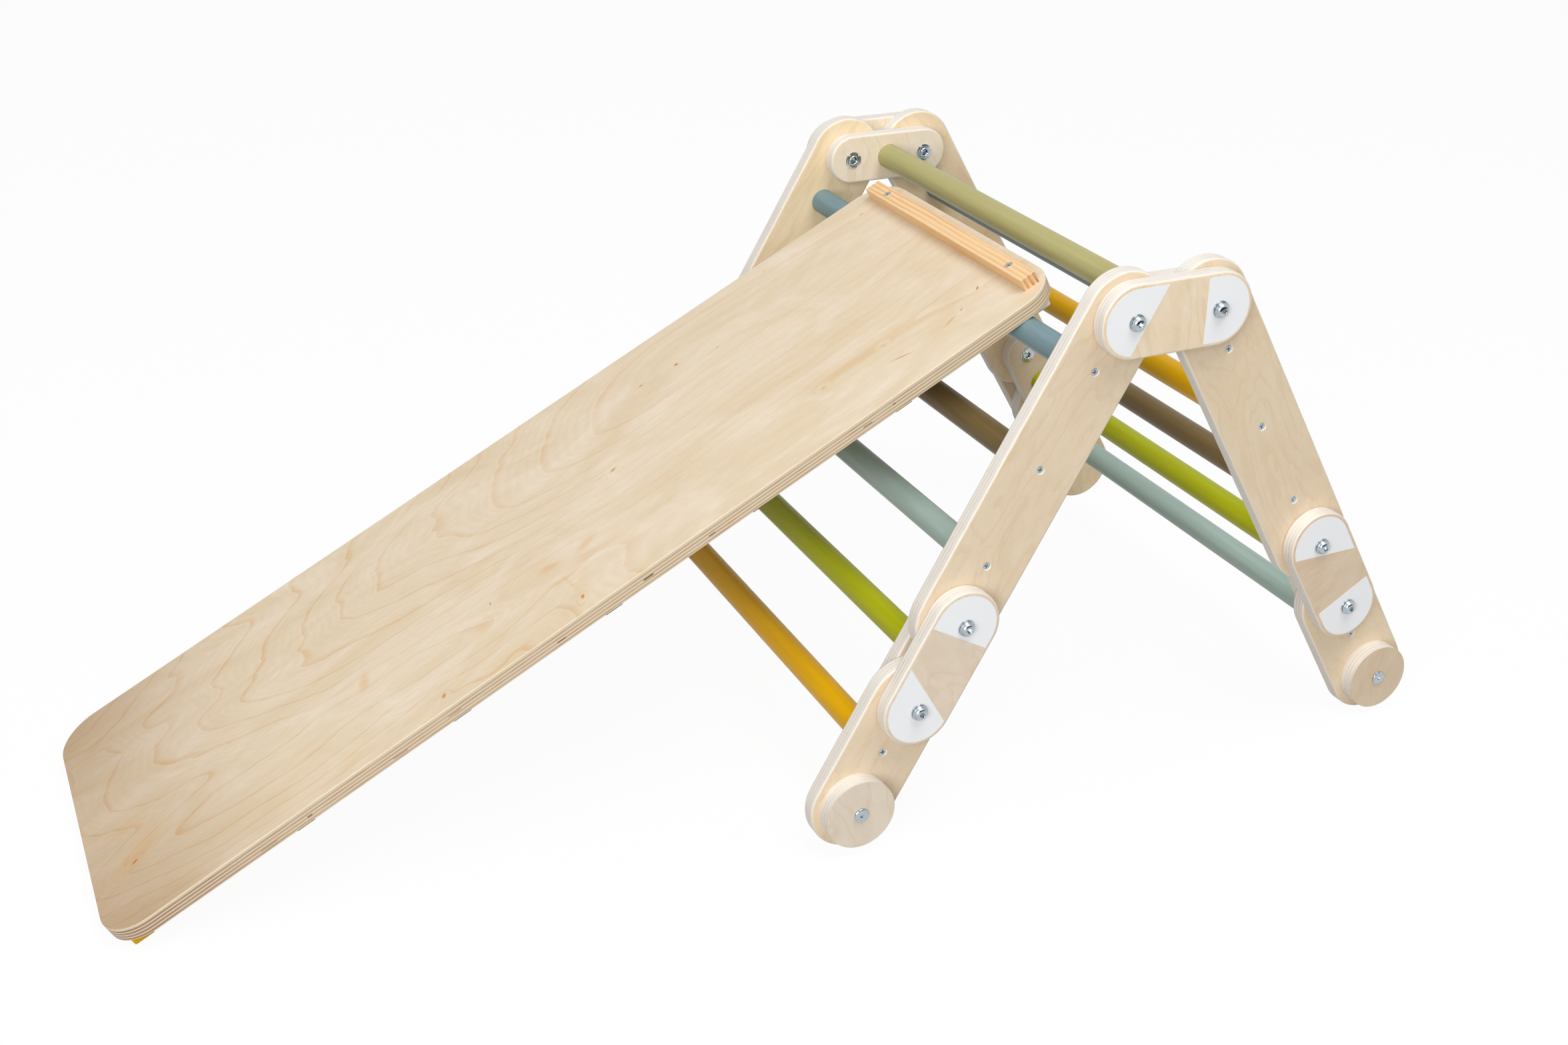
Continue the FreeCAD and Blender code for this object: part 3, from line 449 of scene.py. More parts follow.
def soft_oval(mark_along, mark_across, half_length, half_width, turn, strength):
    """Distance from the middle of a turned ellipse, 1 at its rim, and a strength that fades out there."""
    oval = add(tree, "ShaderNodeMapping", {
        "Vector": along, "Location": (mark_along * MM, mark_across * MM, 0.0),
        "Rotation": (0.0, 0.0, math.radians(turn)), "Scale": (half_length * MM, half_width * MM, ANY_DEPTH)},
        vector_type="TEXTURE").outputs[0]
    away = add(tree, "ShaderNodeVectorMath", {0: oval}, operation="LENGTH").outputs["Value"]
    share = add(tree, "ShaderNodeMapRange", {"Value": away, "From Min": 0.1, "From Max": 1.0,
                                             "To Min": strength, "To Max": 0.0},
                interpolation_type="SMOOTHSTEP").outputs[0]
    return away, share


spot, rise, pale = 0.0, 0.0, 0.0
for mark in MARKS:
    away, share = soft_oval(*mark)
    spot = add(tree, "ShaderNodeMath", {0: spot, 1: share}, operation="MAXIMUM").outputs[0]
    # A knot also lifts the landscape that the contour lines are drawn on, out to three times its size
    if mark[2] < KNOT_LONGEST and mark[3] > KNOT_THINNEST:
        mound = add(tree, "ShaderNodeMapRange", {"Value": away, "From Max": 3.0, "To Min": KNOT_RISE,
                                                 "To Max": 0.0},
                    interpolation_type="SMOOTHERSTEP").outputs[0]
        rise = add(tree, "ShaderNodeMath", {0: rise, 1: mound}, operation="ADD").outputs[0]
for lit_patch in LIT_PATCHES:
    share = soft_oval(*lit_patch)[1]
    pale = add(tree, "ShaderNodeMath", {0: pale, 1: share}, operation="MAXIMUM").outputs[0]
print(f"{len(MARKS)} marks and {len(LIT_PATCHES)} pale patches on the ramp")

# %% [markdown]
# ## Contour lines of the ramp
#
# A sheet that is peeled from a log cuts its growth rings at a very flat angle, so each bulge of the
# log becomes a set of long ovals.  A Wave texture gives only straight bands or circles.  Here the
# height of a landscape is worked out instead, and a line is drawn wherever it passes a multiple of
# one step.  The landscape is the distance from the nearest of four bulges, flattened in the middle
# and steeper to one side than to the other; noise bends the lines by a few centimetres.

# %% Ramp: landscape
# Metres along the ramp and across it, the height that a bulge starts at, its lean to one side, and how
# steep it is down the ramp, up it, to the right and to the left
BULGES = (
    (-0.295, 0.096, 0.004, 0.09, 0.20, 0.06, 0.90, 0.42),
    (-0.330, -0.190, 0.119, 0.0, 0.16, 0.06, 0.35, 0.35),
    (-0.900, -0.104, 0.094, 0.0, 0.30, 0.15, 1.0, 1.0),
    (-1.130, 0.105, 0.105, 0.0, 0.50, 0.50, 0.80, 0.80),
)
FLAT_TOP = 0.05
BULGE_BLEND = 0.02
FAR_ABOVE = 10.0


def bent_slope(value, below_share, above_share):
    """A value times one share where it is below 0 and times another where it is above."""
    below = add(tree, "ShaderNodeMath", {0: value, 1: 0.0}, operation="MINIMUM").outputs[0]
    above = add(tree, "ShaderNodeMath", {0: value, 1: 0.0}, operation="MAXIMUM").outputs[0]
    below = add(tree, "ShaderNodeMath", {0: below, 1: below_share}, operation="MULTIPLY").outputs[0]
    return add(tree, "ShaderNodeMath", {0: above, 1: above_share, 2: below},
               operation="MULTIPLY_ADD").outputs[0]


# The lowest height so far starts far above all bulges, and each bulge is blended in
hills = FAR_ABOVE
for bulge_along, bulge_across, start, lean, down, up, right, left in BULGES:
    ahead = add(tree, "ShaderNodeMath", {0: lengthwise, 1: bulge_along}, operation="SUBTRACT").outputs[0]
    ridge = add(tree, "ShaderNodeMath", {0: bent_slope(ahead, lean, 0.0), 1: bulge_across},
                operation="ADD").outputs[0]
    aside = add(tree, "ShaderNodeMath", {0: sideways, 1: ridge}, operation="SUBTRACT").outputs[0]
    slopes = add(tree, "ShaderNodeCombineXYZ", {0: bent_slope(ahead, down, up),
                                                1: bent_slope(aside, right, left), 2: FLAT_TOP}).outputs[0]
    height = add(tree, "ShaderNodeVectorMath", {0: slopes}, operation="LENGTH").outputs["Value"]
    height = add(tree, "ShaderNodeMath", {0: height, 1: start}, operation="ADD").outputs[0]
    hills = add(tree, "ShaderNodeMath", {0: hills, 1: height, 2: BULGE_BLEND},
                operation="SMOOTH_MIN").outputs[0]
wide = add(tree, "ShaderNodeMapping", {
    "Vector": along, "Scale": repeat_every(250.0, 111.1, 250.0)}).outputs[0]
bend = add(tree, "ShaderNodeTexNoise", {"Vector": wide, "Scale": 1.0, "Detail": 4.0, "Roughness": 0.37,
                                        "Distortion": 0.5}).outputs[0]
calm = add(tree, "ShaderNodeMapRange", {"Value": lengthwise, "From Min": -0.75, "From Max": -0.30,
                                        "To Min": 40.0 * MM, "To Max": 10.0 * MM},
           interpolation_type="SMOOTHSTEP").outputs[0]
bend = add(tree, "ShaderNodeMath", {0: bend, 1: calm}, operation="MULTIPLY").outputs[0]
for part in (bend, rise):
    hills = add(tree, "ShaderNodeMath", {0: hills, 1: part}, operation="ADD").outputs[0]
print(f"landscape of {len(BULGES)} bulges")

# %% Ramp: contour lines
# Each line is dark on one side and soft on the other, with fainter ones between
LINE_STEP = 11.5 * MM
FAINT_STEP = 2.3 * MM
rings = add(tree, "ShaderNodeMath", {0: hills, 1: 1.0 / LINE_STEP}, operation="MULTIPLY").outputs[0]
rings = add(tree, "ShaderNodeMath", {0: rings}, operation="FRACT").outputs[0]
line = add(tree, "ShaderNodeMapRange", {"Value": rings, "From Min": 0.84, "From Max": 0.99},
           interpolation_type="SMOOTHERSTEP").outputs[0]
shade = add(tree, "ShaderNodeMapRange", {"Value": rings, "From Min": 0.2, "To Max": 0.09}).outputs[0]
between = add(tree, "ShaderNodeMath", {0: hills, 1: 1.0 / FAINT_STEP}, operation="MULTIPLY").outputs[0]
between = add(tree, "ShaderNodeMath", {0: between, 1: 0.5}, operation="PINGPONG").outputs[0]
between = add(tree, "ShaderNodeMapRange", {"Value": between, "From Max": 0.5, "To Max": 0.14}).outputs[0]
print(f"a line every {LINE_STEP / MM} mm of height, fainter ones every {FAINT_STEP / MM} mm")

# %% Ramp: clouds and fibres
# Clouds are a few centimetres wide; fibres are drawn a millimetre wide so that they show
cloud = add(tree, "ShaderNodeMapping", {
    "Vector": along, "Scale": repeat_every(153.85, 62.5, 50.0)}).outputs[0]
cloud = add(tree, "ShaderNodeTexNoise", {"Vector": cloud, "Scale": 1.0, "Detail": 6.0, "Roughness": 0.6,
                                         "Distortion": 1.2}).outputs[0]
tone = add(tree, "ShaderNodeMapRange", {"Value": cloud, "From Min": 0.32, "From Max": 0.70}).outputs[0]
fibre = add(tree, "ShaderNodeMapping", {
    "Vector": along, "Scale": repeat_every(10.526, 1.25, 1.25)}).outputs[0]
fibre = add(tree, "ShaderNodeTexNoise", {"Vector": fibre, "Scale": 1.0, "Detail": 3.0}).outputs[0]
thin = add(tree, "ShaderNodeMapRange", {"Value": fibre, "From Min": 0.38, "From Max": 0.72,
                                        "To Max": 0.27}).outputs[0]
# The low end is darker towards its corners, painted shade: a tint that multiplies the colour so the figure
# stays
low_end_shade = add(tree, "ShaderNodeMapRange", {"Value": lengthwise, "From Min": -0.84, "From Max": -1.11},
              interpolation_type="SMOOTHSTEP").outputs[0]
corner = add(tree, "ShaderNodeMath", {0: sideways}, operation="ABSOLUTE").outputs[0]
corner = add(tree, "ShaderNodeMapRange", {"Value": corner, "From Max": 0.19, "To Min": 0.55,
                                          "To Max": 1.0}).outputs[0]
low_end_shade = add(tree, "ShaderNodeMath", {0: low_end_shade, 1: corner}, operation="MULTIPLY").outputs[0]
# Lines are fainter towards the top, and broken where the clouds are pale
faint = add(tree, "ShaderNodeMapRange", {"Value": lengthwise, "From Min": -0.75, "From Max": -0.30,
                                         "To Min": 0.40, "To Max": 0.24}).outputs[0]
broken = add(tree, "ShaderNodeMapRange", {"Value": cloud, "From Min": 0.40, "From Max": 0.62,
                                          "To Min": 1.0, "To Max": 0.4}).outputs[0]
for factor in (faint, broken):
    line = add(tree, "ShaderNodeMath", {0: line, 1: factor}, operation="MULTIPLY").outputs[0]
# The painted light is broken up by the clouds
pale = add(tree, "ShaderNodeMath", {0: pale, 1: tone}, operation="MULTIPLY").outputs[0]
print("clouds, fibres and a shaded low end")

# %% Ramp: colours of the face
core = add(tree, "ShaderNodeMapRange", {"Value": spot, "From Min": 0.6, "To Max": 0.8}).outputs[0]
face_tints = (
    (tone, "#eaddc9", "MIX"), (pale, "#f4e8dc", "MIX"), (shade, "#d5b88e", "MIX"),
    (between, "#cdb189", "MIX"), (thin, "#d4ba92", "MIX"), (line, "#d0994f", "MIX"),
    (low_end_shade, "#d2c3b4", "MULTIPLY"), (spot, "#d29a42", "MIX"), (core, "#96501f", "MIX"),
)
face = linear("#ddc9a9")
for share, tint, blend in face_tints:
    face = add(tree, "ShaderNodeMix", {0: share, 6: face, 7: linear(tint)}, data_type="RGBA",
               blend_type=blend).outputs[2]
print(f"face of {len(face_tints)} tints over plain birch")

# %% [markdown]
# ## The ramp's sawn edge
#
# On the sawn edge every other ply shows its cut ends, which take up more lacquer and look tan.  A
# Boolean cut could model each gap in the plies, but they are too small to show as shapes, so the
# edge is all colour: a triangle wave across the thickness is 0 in the middle of a tan ply and 1 in
# the middle of a light one, and the highest ply stays light.

# %% Ramp: tan plies of the edge
# Shares of the board's thickness: from one tan ply to the next, and from the underside to the lowest
EDGE_PITCH = 0.205
EDGE_START = 0.14
LIGHT_FROM = 7.0
deep = add(tree, "ShaderNodeMath", {0: upwards, 1: 1.0 / BOARD}, operation="MULTIPLY").outputs[0]
wave = add(tree, "ShaderNodeMath", {0: deep, 1: EDGE_START}, operation="SUBTRACT").outputs[0]
wave = add(tree, "ShaderNodeMath", {0: wave, 1: 2.0 / EDGE_PITCH}, operation="MULTIPLY").outputs[0]
cross = add(tree, "ShaderNodeMath", {0: wave, 1: LIGHT_FROM}, operation="LESS_THAN").outputs[0]
off = add(tree, "ShaderNodeMath", {0: wave, 1: 1.0}, operation="PINGPONG").outputs[0]
# Tan plies are thicker at the low end than at the top; their rims are brown, with reddish stretches
half = add(tree, "ShaderNodeMapRange", {"Value": lengthwise, "From Min": -1.1, "From Max": -0.1,
                                        "To Min": 0.60, "To Max": 0.44}).outputs[0]
fade = add(tree, "ShaderNodeMath", {0: half, 1: 0.14}, operation="ADD").outputs[0]
band = add(tree, "ShaderNodeMapRange", {"Value": off, "From Min": half, "From Max": fade, "To Min": 0.9,
                                        "To Max": 0.0}).outputs[0]
band = add(tree, "ShaderNodeMath", {0: band, 1: cross}, operation="MULTIPLY").outputs[0]
streak = add(tree, "ShaderNodeMapping", {
    "Vector": along, "Scale": repeat_every(33.33, 33.33, 1.1111)}).outputs[0]
streak = add(tree, "ShaderNodeTexNoise", {"Vector": streak, "Scale": 1.0, "Detail": 2.0}).outputs[0]
light = add(tree, "ShaderNodeMapRange", {"Value": streak, "From Min": 0.35, "From Max": 0.65}).outputs[0]
rim = add(tree, "ShaderNodeMath", {0: off, 1: half}, operation="SUBTRACT").outputs[0]
rim = add(tree, "ShaderNodeMath", {0: rim}, operation="ABSOLUTE").outputs[0]
rim = add(tree, "ShaderNodeMapRange", {"Value": rim, "From Min": 0.04, "From Max": 0.22, "To Min": 0.75,
                                       "To Max": 0.0}).outputs[0]
red = add(tree, "ShaderNodeMapRange", {"Value": streak, "From Min": 0.36, "From Max": 0.26,
                                       "To Max": 0.7}).outputs[0]
# The low end's painted shade darkens the end grain of the edge as well
ends = linear("#bd9d7a")
for share, tint, blend in ((light, "#d3bfa4", "MIX"), (rim, "#b08558", "MIX"), (red, "#86573f", "MIX"),
                           (low_end_shade, "#c3aa9c", "MULTIPLY")):
    ends = add(tree, "ShaderNodeMix", {0: share, 6: ends, 7: linear(tint)}, data_type="RGBA",
               blend_type=blend).outputs[2]
edge = add(tree, "ShaderNodeMix", {0: band, 6: linear("#ecddc3"), 7: ends}, data_type="RGBA").outputs[2]
print(f"a tan ply every {EDGE_PITCH * BOARD / MM:.2f} mm of the edge")

# %% Ramp: glue line and gaps of the edge
# A grey line of glue runs two millimetres under the face
GLUE_AT = 0.885
glue = add(tree, "ShaderNodeMath", {0: deep, 1: GLUE_AT}, operation="SUBTRACT").outputs[0]
glue = add(tree, "ShaderNodeMath", {0: glue}, operation="ABSOLUTE").outputs[0]
glue = add(tree, "ShaderNodeMapRange", {"Value": glue, "From Min": 0.012, "From Max": 0.03, "To Min": 0.6,
                                        "To Max": 0.0}).outputs[0]
edge = add(tree, "ShaderNodeMix", {0: glue, 6: edge, 7: linear("#b9b09c")}, data_type="RGBA").outputs[2]
# Gaps in the edge on the right, where an inner sheet did not meet, darkened with painted shade:
# millimetres along the ramp and up from its underside, half the length, half the height and how dark it is
EDGE_GAPS = (
    (-474, 8.6, 6.5, 0.9, 0.95), (-580, 6.3, 5.5, 0.8, 0.75), (-873, 6.6, 3.0, 1.3, 0.6),
    (-770, 5.0, 9.0, 0.6, 0.6), (-705, 8.4, 8.0, 0.6, 0.5), (-920, 5.0, 10.0, 0.6, 0.5),
    (-202, 7.4, 6.0, 0.5, 0.9), (-167, 10.1, 1.8, 0.8, 0.8), (-397, 7.0, 4.5, 0.6, 0.95),
)
RAMP_HALF_WIDTH = 197.0 * MM
GAP_INWARD = 100.0 * MM
for gap_along, gap_up, half_length, half_height, dark in EDGE_GAPS:
    box = add(tree, "ShaderNodeMapping", {
        "Vector": along, "Location": (gap_along * MM, -RAMP_HALF_WIDTH, gap_up * MM),
        "Scale": (half_length * MM, GAP_INWARD, half_height * MM)}, vector_type="TEXTURE").outputs[0]
    box = add(tree, "ShaderNodeVectorMath", {0: box}, operation="ABSOLUTE").outputs[0]
    box_x, box_y, box_z = add(tree, "ShaderNodeSeparateXYZ", {0: box}).outputs
    gap = add(tree, "ShaderNodeMath", {0: box_x, 1: box_z}, operation="MAXIMUM").outputs[0]
    gap = add(tree, "ShaderNodeMath", {0: gap, 1: box_y}, operation="MAXIMUM").outputs[0]
    gap = add(tree, "ShaderNodeMapRange", {"Value": gap, "From Min": 0.8, "From Max": 1.0, "To Min": dark,
                                           "To Max": 0.0}).outputs[0]
    edge = add(tree, "ShaderNodeMix", {0: gap, 6: edge, 7: linear("#4d2f22")}, data_type="RGBA").outputs[2]
print(f"{len(EDGE_GAPS)} gaps in the edge")

# %% Ramp: face and edge together
# As on the legs, the face is the outer third of a millimetre on either side
inside = add(tree, "ShaderNodeMath", {0: deep, 1: 0.5}, operation="SUBTRACT").outputs[0]
inside = add(tree, "ShaderNodeMath", {0: inside}, operation="ABSOLUTE").outputs[0]
skin_deep = add(tree, "ShaderNodeMapRange", {"Value": inside, "From Min": 0.465,
                                             "From Max": 0.485}).outputs[0]
colour = add(tree, "ShaderNodeMix", {0: skin_deep, 6: edge, 7: face}, data_type="RGBA").outputs[2]
rough = add(tree, "ShaderNodeMapRange", {"Value": fibre, "To Min": 0.45, "To Max": 0.6}).outputs[0]
bump = add(tree, "ShaderNodeBump", {"Height": fibre, "Strength": 0.10, "Distance": 0.2 * MM}).outputs[0]
shader = add(tree, "ShaderNodeBsdfPrincipled", {"Base Color": colour, "Roughness": rough, "Normal": bump,
                                                "IOR": 1.48})
add(tree, "ShaderNodeOutputMaterial", {"Surface": shader.outputs[0]})
dress(board_wood, ["ramp_board"])

# %% [markdown]
# ## The pine stop
#
# A sawn strip of pine lies across the ramp's top.  Pine has wide pale spring wood and narrow
# orange summer wood, so the strip is cut out of rings: circles about a line that runs beyond the
# strip, a little wavy, six millimetres apart.  On the sawn ends the same rings show as arcs, and
# the ends are darker because they drink more oil.

# %% Pine: growth rings
RING_PITCH = 6.0 * MM
RING_SWAY = 5.5 * MM
HEART_AHEAD = 92.8 * MM
HEART_ABOVE = 12.0 * MM
stop_low, stop_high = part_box("ramp_pine_stop")
stop_middle = (stop_low + stop_high) / 2
heart = stop_middle + HEART_AHEAD * ramp_up + HEART_ABOVE * ramp_out

pine, tree = blank_material("oiled_pine")
place = add(tree, "ShaderNodeTexCoord").outputs["Object"]
along = add(tree, "ShaderNodeMapping", {"Vector": place, "Location": heart,
                                        "Rotation": (0.0, -ramp_pitch, 0.0)},
            vector_type="TEXTURE").outputs[0]
sway = add(tree, "ShaderNodeMapping", {
    "Vector": along, "Scale": repeat_every(40.0, 166.7, 40.0)}).outputs[0]
sway = add(tree, "ShaderNodeTexNoise", {"Vector": sway, "Scale": 1.0, "Detail": 2.0}).outputs[0]
sway = add(tree, "ShaderNodeMath", {0: sway, 1: RING_SWAY}, operation="MULTIPLY").outputs[0]
flat = add(tree, "ShaderNodeVectorMath", {0: along, 1: (1.0, 0.02, 1.0)}, operation="MULTIPLY").outputs[0]
ring = add(tree, "ShaderNodeVectorMath", {0: flat}, operation="LENGTH").outputs["Value"]
for operation, number in (("ADD", sway), ("MULTIPLY", 1.0 / RING_PITCH), ("FRACT", 0.0)):
    ring = add(tree, "ShaderNodeMath", {0: ring, 1: number}, operation=operation).outputs[0]
late = add(tree, "ShaderNodeMapRange", {"Value": ring, "From Min": 0.30, "From Max": 0.95},
           interpolation_type="SMOOTHSTEP").outputs[0]
uneven = add(tree, "ShaderNodeMapping", {
    "Vector": along, "Scale": repeat_every(11.11, 142.9, 11.11)}).outputs[0]
uneven = add(tree, "ShaderNodeTexNoise", {"Vector": uneven, "Scale": 1.0, "Detail": 2.0}).outputs[0]
uneven = add(tree, "ShaderNodeMapRange", {"Value": uneven, "From Min": 0.35, "From Max": 0.65,
                                          "To Min": 0.45, "To Max": 1.0}).outputs[0]
late = add(tree, "ShaderNodeMath", {0: late, 1: uneven}, operation="MULTIPLY").outputs[0]
print(f"rings {RING_PITCH / MM} mm apart about {tuple(round(v, 4) for v in heart)}")

# %% Pine: colours
# Hairs of the wood are drawn nearly a millimetre wide so that they show
SAWN_FROM = 176.0 * MM
SAWN_FULL = 176.8 * MM
hair = add(tree, "ShaderNodeMapping", {
    "Vector": along, "Scale": repeat_every(0.8333, 20.0, 0.8333)}).outputs[0]
hair = add(tree, "ShaderNodeTexNoise", {"Vector": hair, "Scale": 1.0, "Detail": 2.0}).outputs[0]
thin = add(tree, "ShaderNodeMapRange", {"Value": hair, "From Min": 0.4, "From Max": 0.8,
                                        "To Max": 0.25}).outputs[0]
wood = linear("#f2cf9f")
for share, tint in ((late, "#e1ad70"), (thin, "#cf9556")):
    wood = add(tree, "ShaderNodeMix", {0: share, 6: wood, 7: linear(tint)}, data_type="RGBA").outputs[2]
sawn = add(tree, "ShaderNodeSeparateXYZ", {0: along}).outputs["Y"]
sawn = add(tree, "ShaderNodeMath", {0: sawn}, operation="ABSOLUTE").outputs[0]
sawn = add(tree, "ShaderNodeMapRange", {"Value": sawn, "From Min": SAWN_FROM,
                                        "From Max": SAWN_FULL}).outputs[0]
ends = add(tree, "ShaderNodeMix", {0: late, 6: linear("#eec592"), 7: linear("#a9683c")},
           data_type="RGBA").outputs[2]
colour = add(tree, "ShaderNodeMix", {0: sawn, 6: wood, 7: ends}, data_type="RGBA").outputs[2]
bump = add(tree, "ShaderNodeBump", {"Height": late, "Strength": 0.15, "Distance": 0.2 * MM}).outputs[0]
shader = add(tree, "ShaderNodeBsdfPrincipled", {"Base Color": colour, "Roughness": 0.5, "Normal": bump,
                                                "IOR": 1.48})
add(tree, "ShaderNodeOutputMaterial", {"Surface": shader.outputs[0]})
dress(pine, ["ramp_pine_stop"])

# %% [markdown]
# ## Painted beech rungs and battens
#
# The rungs are turned beech under satin paint.  The paint hides the colour of the wood but not
# its pores: short fine streaks along the rung dent the film and darken it a little.  A plain
# colour would look like plastic.  One function makes the paint for each colour.


# %% Paint
def satin_paint(name, full, thin_film):
    """Satin paint on beech: two close shades in streaks along Y, with fine pores as bump."""
    material, tree = blank_material(name)
    place = add(tree, "ShaderNodeTexCoord").outputs["Object"]
    streak = add(tree, "ShaderNodeMapping", {
        "Vector": place, "Scale": repeat_every(6.25, 142.9, 6.25)}).outputs[0]
    streak = add(tree, "ShaderNodeTexNoise", {"Vector": streak, "Scale": 1.0, "Detail": 3.0}).outputs[0]
    # Pores are drawn 0.7 mm wide so that they show
    pore = add(tree, "ShaderNodeMapping", {
        "Vector": place, "Scale": repeat_every(0.7143, 11.11, 0.7143)}).outputs[0]
    pore = add(tree, "ShaderNodeTexNoise", {"Vector": pore, "Scale": 1.0, "Detail": 1.0}).outputs[0]
    share = add(tree, "ShaderNodeMapRange", {"Value": streak, "From Min": 0.35,
                                             "From Max": 0.68}).outputs[0]
    colour = add(tree, "ShaderNodeMix", {0: share, 6: linear(full), 7: linear(thin_film)},
                 data_type="RGBA").outputs[2]
    rough = add(tree, "ShaderNodeMapRange", {"Value": pore, "To Min": 0.32, "To Max": 0.46}).outputs[0]
    bump = add(tree, "ShaderNodeBump", {"Height": pore, "Strength": 0.12, "Distance": 0.1 * MM}).outputs[0]
    shader = add(tree, "ShaderNodeBsdfPrincipled", {"Base Color": colour, "Roughness": rough,
                                                    "Normal": bump, "IOR": 1.5, "Specular IOR Level": 0.18})
    add(tree, "ShaderNodeOutputMaterial", {"Surface": shader.outputs[0]})
    return material


PAINTS = {
    "olive": ("#b0a971", "#b8b17b"), "slate": ("#748f96", "#7e999f"), "brown": ("#6e5b39", "#776541"),
    "sage": ("#9eb3ab", "#a7bbb3"), "lime": ("#a8ad0c", "#b0b516"), "mustard": ("#dfa800", "#e6b004"),
    "white": ("#e6e5e2", "#eeedeb"),
}
slots = {part["node"]: part["material_slot"] for part in frame["record"]["subparts"]}
for colour_name, (full, thin_film) in PAINTS.items():
    dress(satin_paint(f"satin_paint_{colour_name}", full, thin_film),
          [n for n in nodes if slots[n] == colour_name])

# %% [markdown]
# ## Zinc-plated steel
#
# Bolts, washers, tee nuts and screws are bright zinc-plated steel: a cool metal that mirrors the
# room softly, with faint stains from the plating bath.  A metal has no colour of its own but what
# it mirrors, so the dark card above matters more to it than the numbers here.

# %% Steel
STAIN_SIZE = 2.381 * MM
steel, tree = blank_material("zinc_plated_steel")
place = add(tree, "ShaderNodeTexCoord").outputs["Object"]
stain = add(tree, "ShaderNodeTexNoise", {"Vector": place, "Scale": 1.0 / STAIN_SIZE,
                                         "Detail": 3.0}).outputs[0]
colour = add(tree, "ShaderNodeMix", {0: stain, 6: linear("#98a3aa"), 7: linear("#c8d1d7")},
             data_type="RGBA").outputs[2]
rough = add(tree, "ShaderNodeMapRange", {"Value": stain, "To Min": 0.12, "To Max": 0.28}).outputs[0]
shader = add(tree, "ShaderNodeBsdfPrincipled", {"Base Color": colour, "Roughness": rough, "Metallic": 1.0})
add(tree, "ShaderNodeOutputMaterial", {"Surface": shader.outputs[0]})
dress(steel, [n for n in nodes if slots[n] == "zinc_steel"])

# %% [markdown]
# ## Bolts, nuts and screws
#
# Each fastener is turned: an outline of radius and height goes round an axis.  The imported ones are
# plain, and so near the camera small things count, such as the groove over a washer, the rounded
# rim and shallow dome of a bolt's head, the key's hexagon and the notches of a tee nut.  They could
# be cut with Boolean modifiers, but a turned grid can do it by itself: where a row of the outline
# belongs to a socket, its radius also follows a polar curve, such as a hexagon.

# %% Polar curves of sockets and notches
ROUND_STEPS = 96
SLOT_HALF = 0.27
NOTCH_DEEP = 0.22
NOTCH_HALF = 0.17
angle = np.arange(ROUND_STEPS) * 2 * np.pi / ROUND_STEPS


def hexagon(angle):
    """Polar radius of a hexagon with flats at 1: one over the cosine of the turn from a flat's middle."""
    return 1 / np.cos(np.mod(angle, np.pi / 3) - np.pi / 6)


def cross_slot(angle):
    """Polar radius of a cross with arms of length 1: the larger radius of two bars."""
    across = np.abs(np.cos(angle)) + 1e-9
    upward = np.abs(np.sin(angle)) + 1e-9
    level_bar = np.minimum(1 / across, SLOT_HALF / upward)
    upright_bar = np.minimum(1 / upward, SLOT_HALF / across)
    return np.maximum(level_bar, upright_bar)


def four_notches(angle):
    """Polar radius of a disc of radius 1 that dips at each quarter turn, flat in the dip."""
    away = np.abs(np.mod(angle + np.pi / 4, np.pi / 2) - np.pi / 4)
    return 1 - NOTCH_DEEP * np.clip(1 - (away / NOTCH_HALF) ** 4, 0, 1)


print(f"hexagon from {hexagon(angle).min():.3f} to {hexagon(angle).max():.3f}")


# %% Turned surfaces
def skin(rings, closed):
    """Points and four-sided faces over rings of points; closed joins the last ring to the first."""
    number = np.arange(rings.shape[0] * rings.shape[1]).reshape(rings.shape[:2])
    if closed:
        number = np.vstack((number, number[:1]))
    beside = np.roll(number, -1, axis=1)
    faces = np.stack((number[:-1], number[1:], beside[1:], beside[:-1]), axis=-1)
    return rings.reshape(-1, 3), faces.reshape(-1, 4)


def turned(outline, curve, places, closed=False, twist_step=0.7):
    """Skins of turned surfaces, one for each place.

    A row of the outline is (radius mm, height mm, share of the curve).  Its point at an angle lies at
    the radius times (1 - share + share * curve) from the axis, and at the height along it.  A place is
    a point on the axis, the axis and the direction of angle 0; each next place is turned on by a step.
    """
    rows = np.array(outline)
    radius = MM * rows[:, :1] * (1 - rows[:, 2:] + rows[:, 2:] * curve(angle))
    height = MM * rows[:, 1:2, None]
    skins = []
    for number, place in enumerate(places):
        point, axis, start = (np.array(v, dtype=float) for v in place)
        twist = angle[:, None] + twist_step * number
        spokes = np.cos(twist) * start + np.sin(twist) * np.cross(axis, start)
        skins.append(skin(point + height * axis + radius[:, :, None] * spokes, closed))
    return skins


# %% Pieces out of skins
MERGE_WITHIN = 0.002 * MM
SHARP_FROM = math.radians(32)


def make_piece(name, skins, material, body):
    """One piece of several skins, merged where rings shrink to a point, that rides on a body."""
    starts = np.cumsum([0] + [len(points) for points, _ in skins])
    points = np.vstack([points for points, _ in skins])
    faces = np.vstack([faces + start for (_, faces), start in zip(skins, starts)])
    mesh = bpy.data.meshes.new(name)
    mesh.from_pydata(points.tolist(), [], faces.tolist())
    work = bmesh.new()
    work.from_mesh(mesh)
    bmesh.ops.remove_doubles(work, verts=work.verts, dist=MERGE_WITHIN)
    volume = work.calc_volume(signed=True)
    work.to_mesh(mesh)
    work.free()
    mesh.shade_smooth()
    mesh.set_sharp_from_angle(angle=SHARP_FROM)
    mesh.materials.append(material)
    made = new_object(name, mesh)
    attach(made, body)
    print(f"{name}: {len(mesh.polygons)} faces, {volume * 1e6:.2f} cm3")
    return made


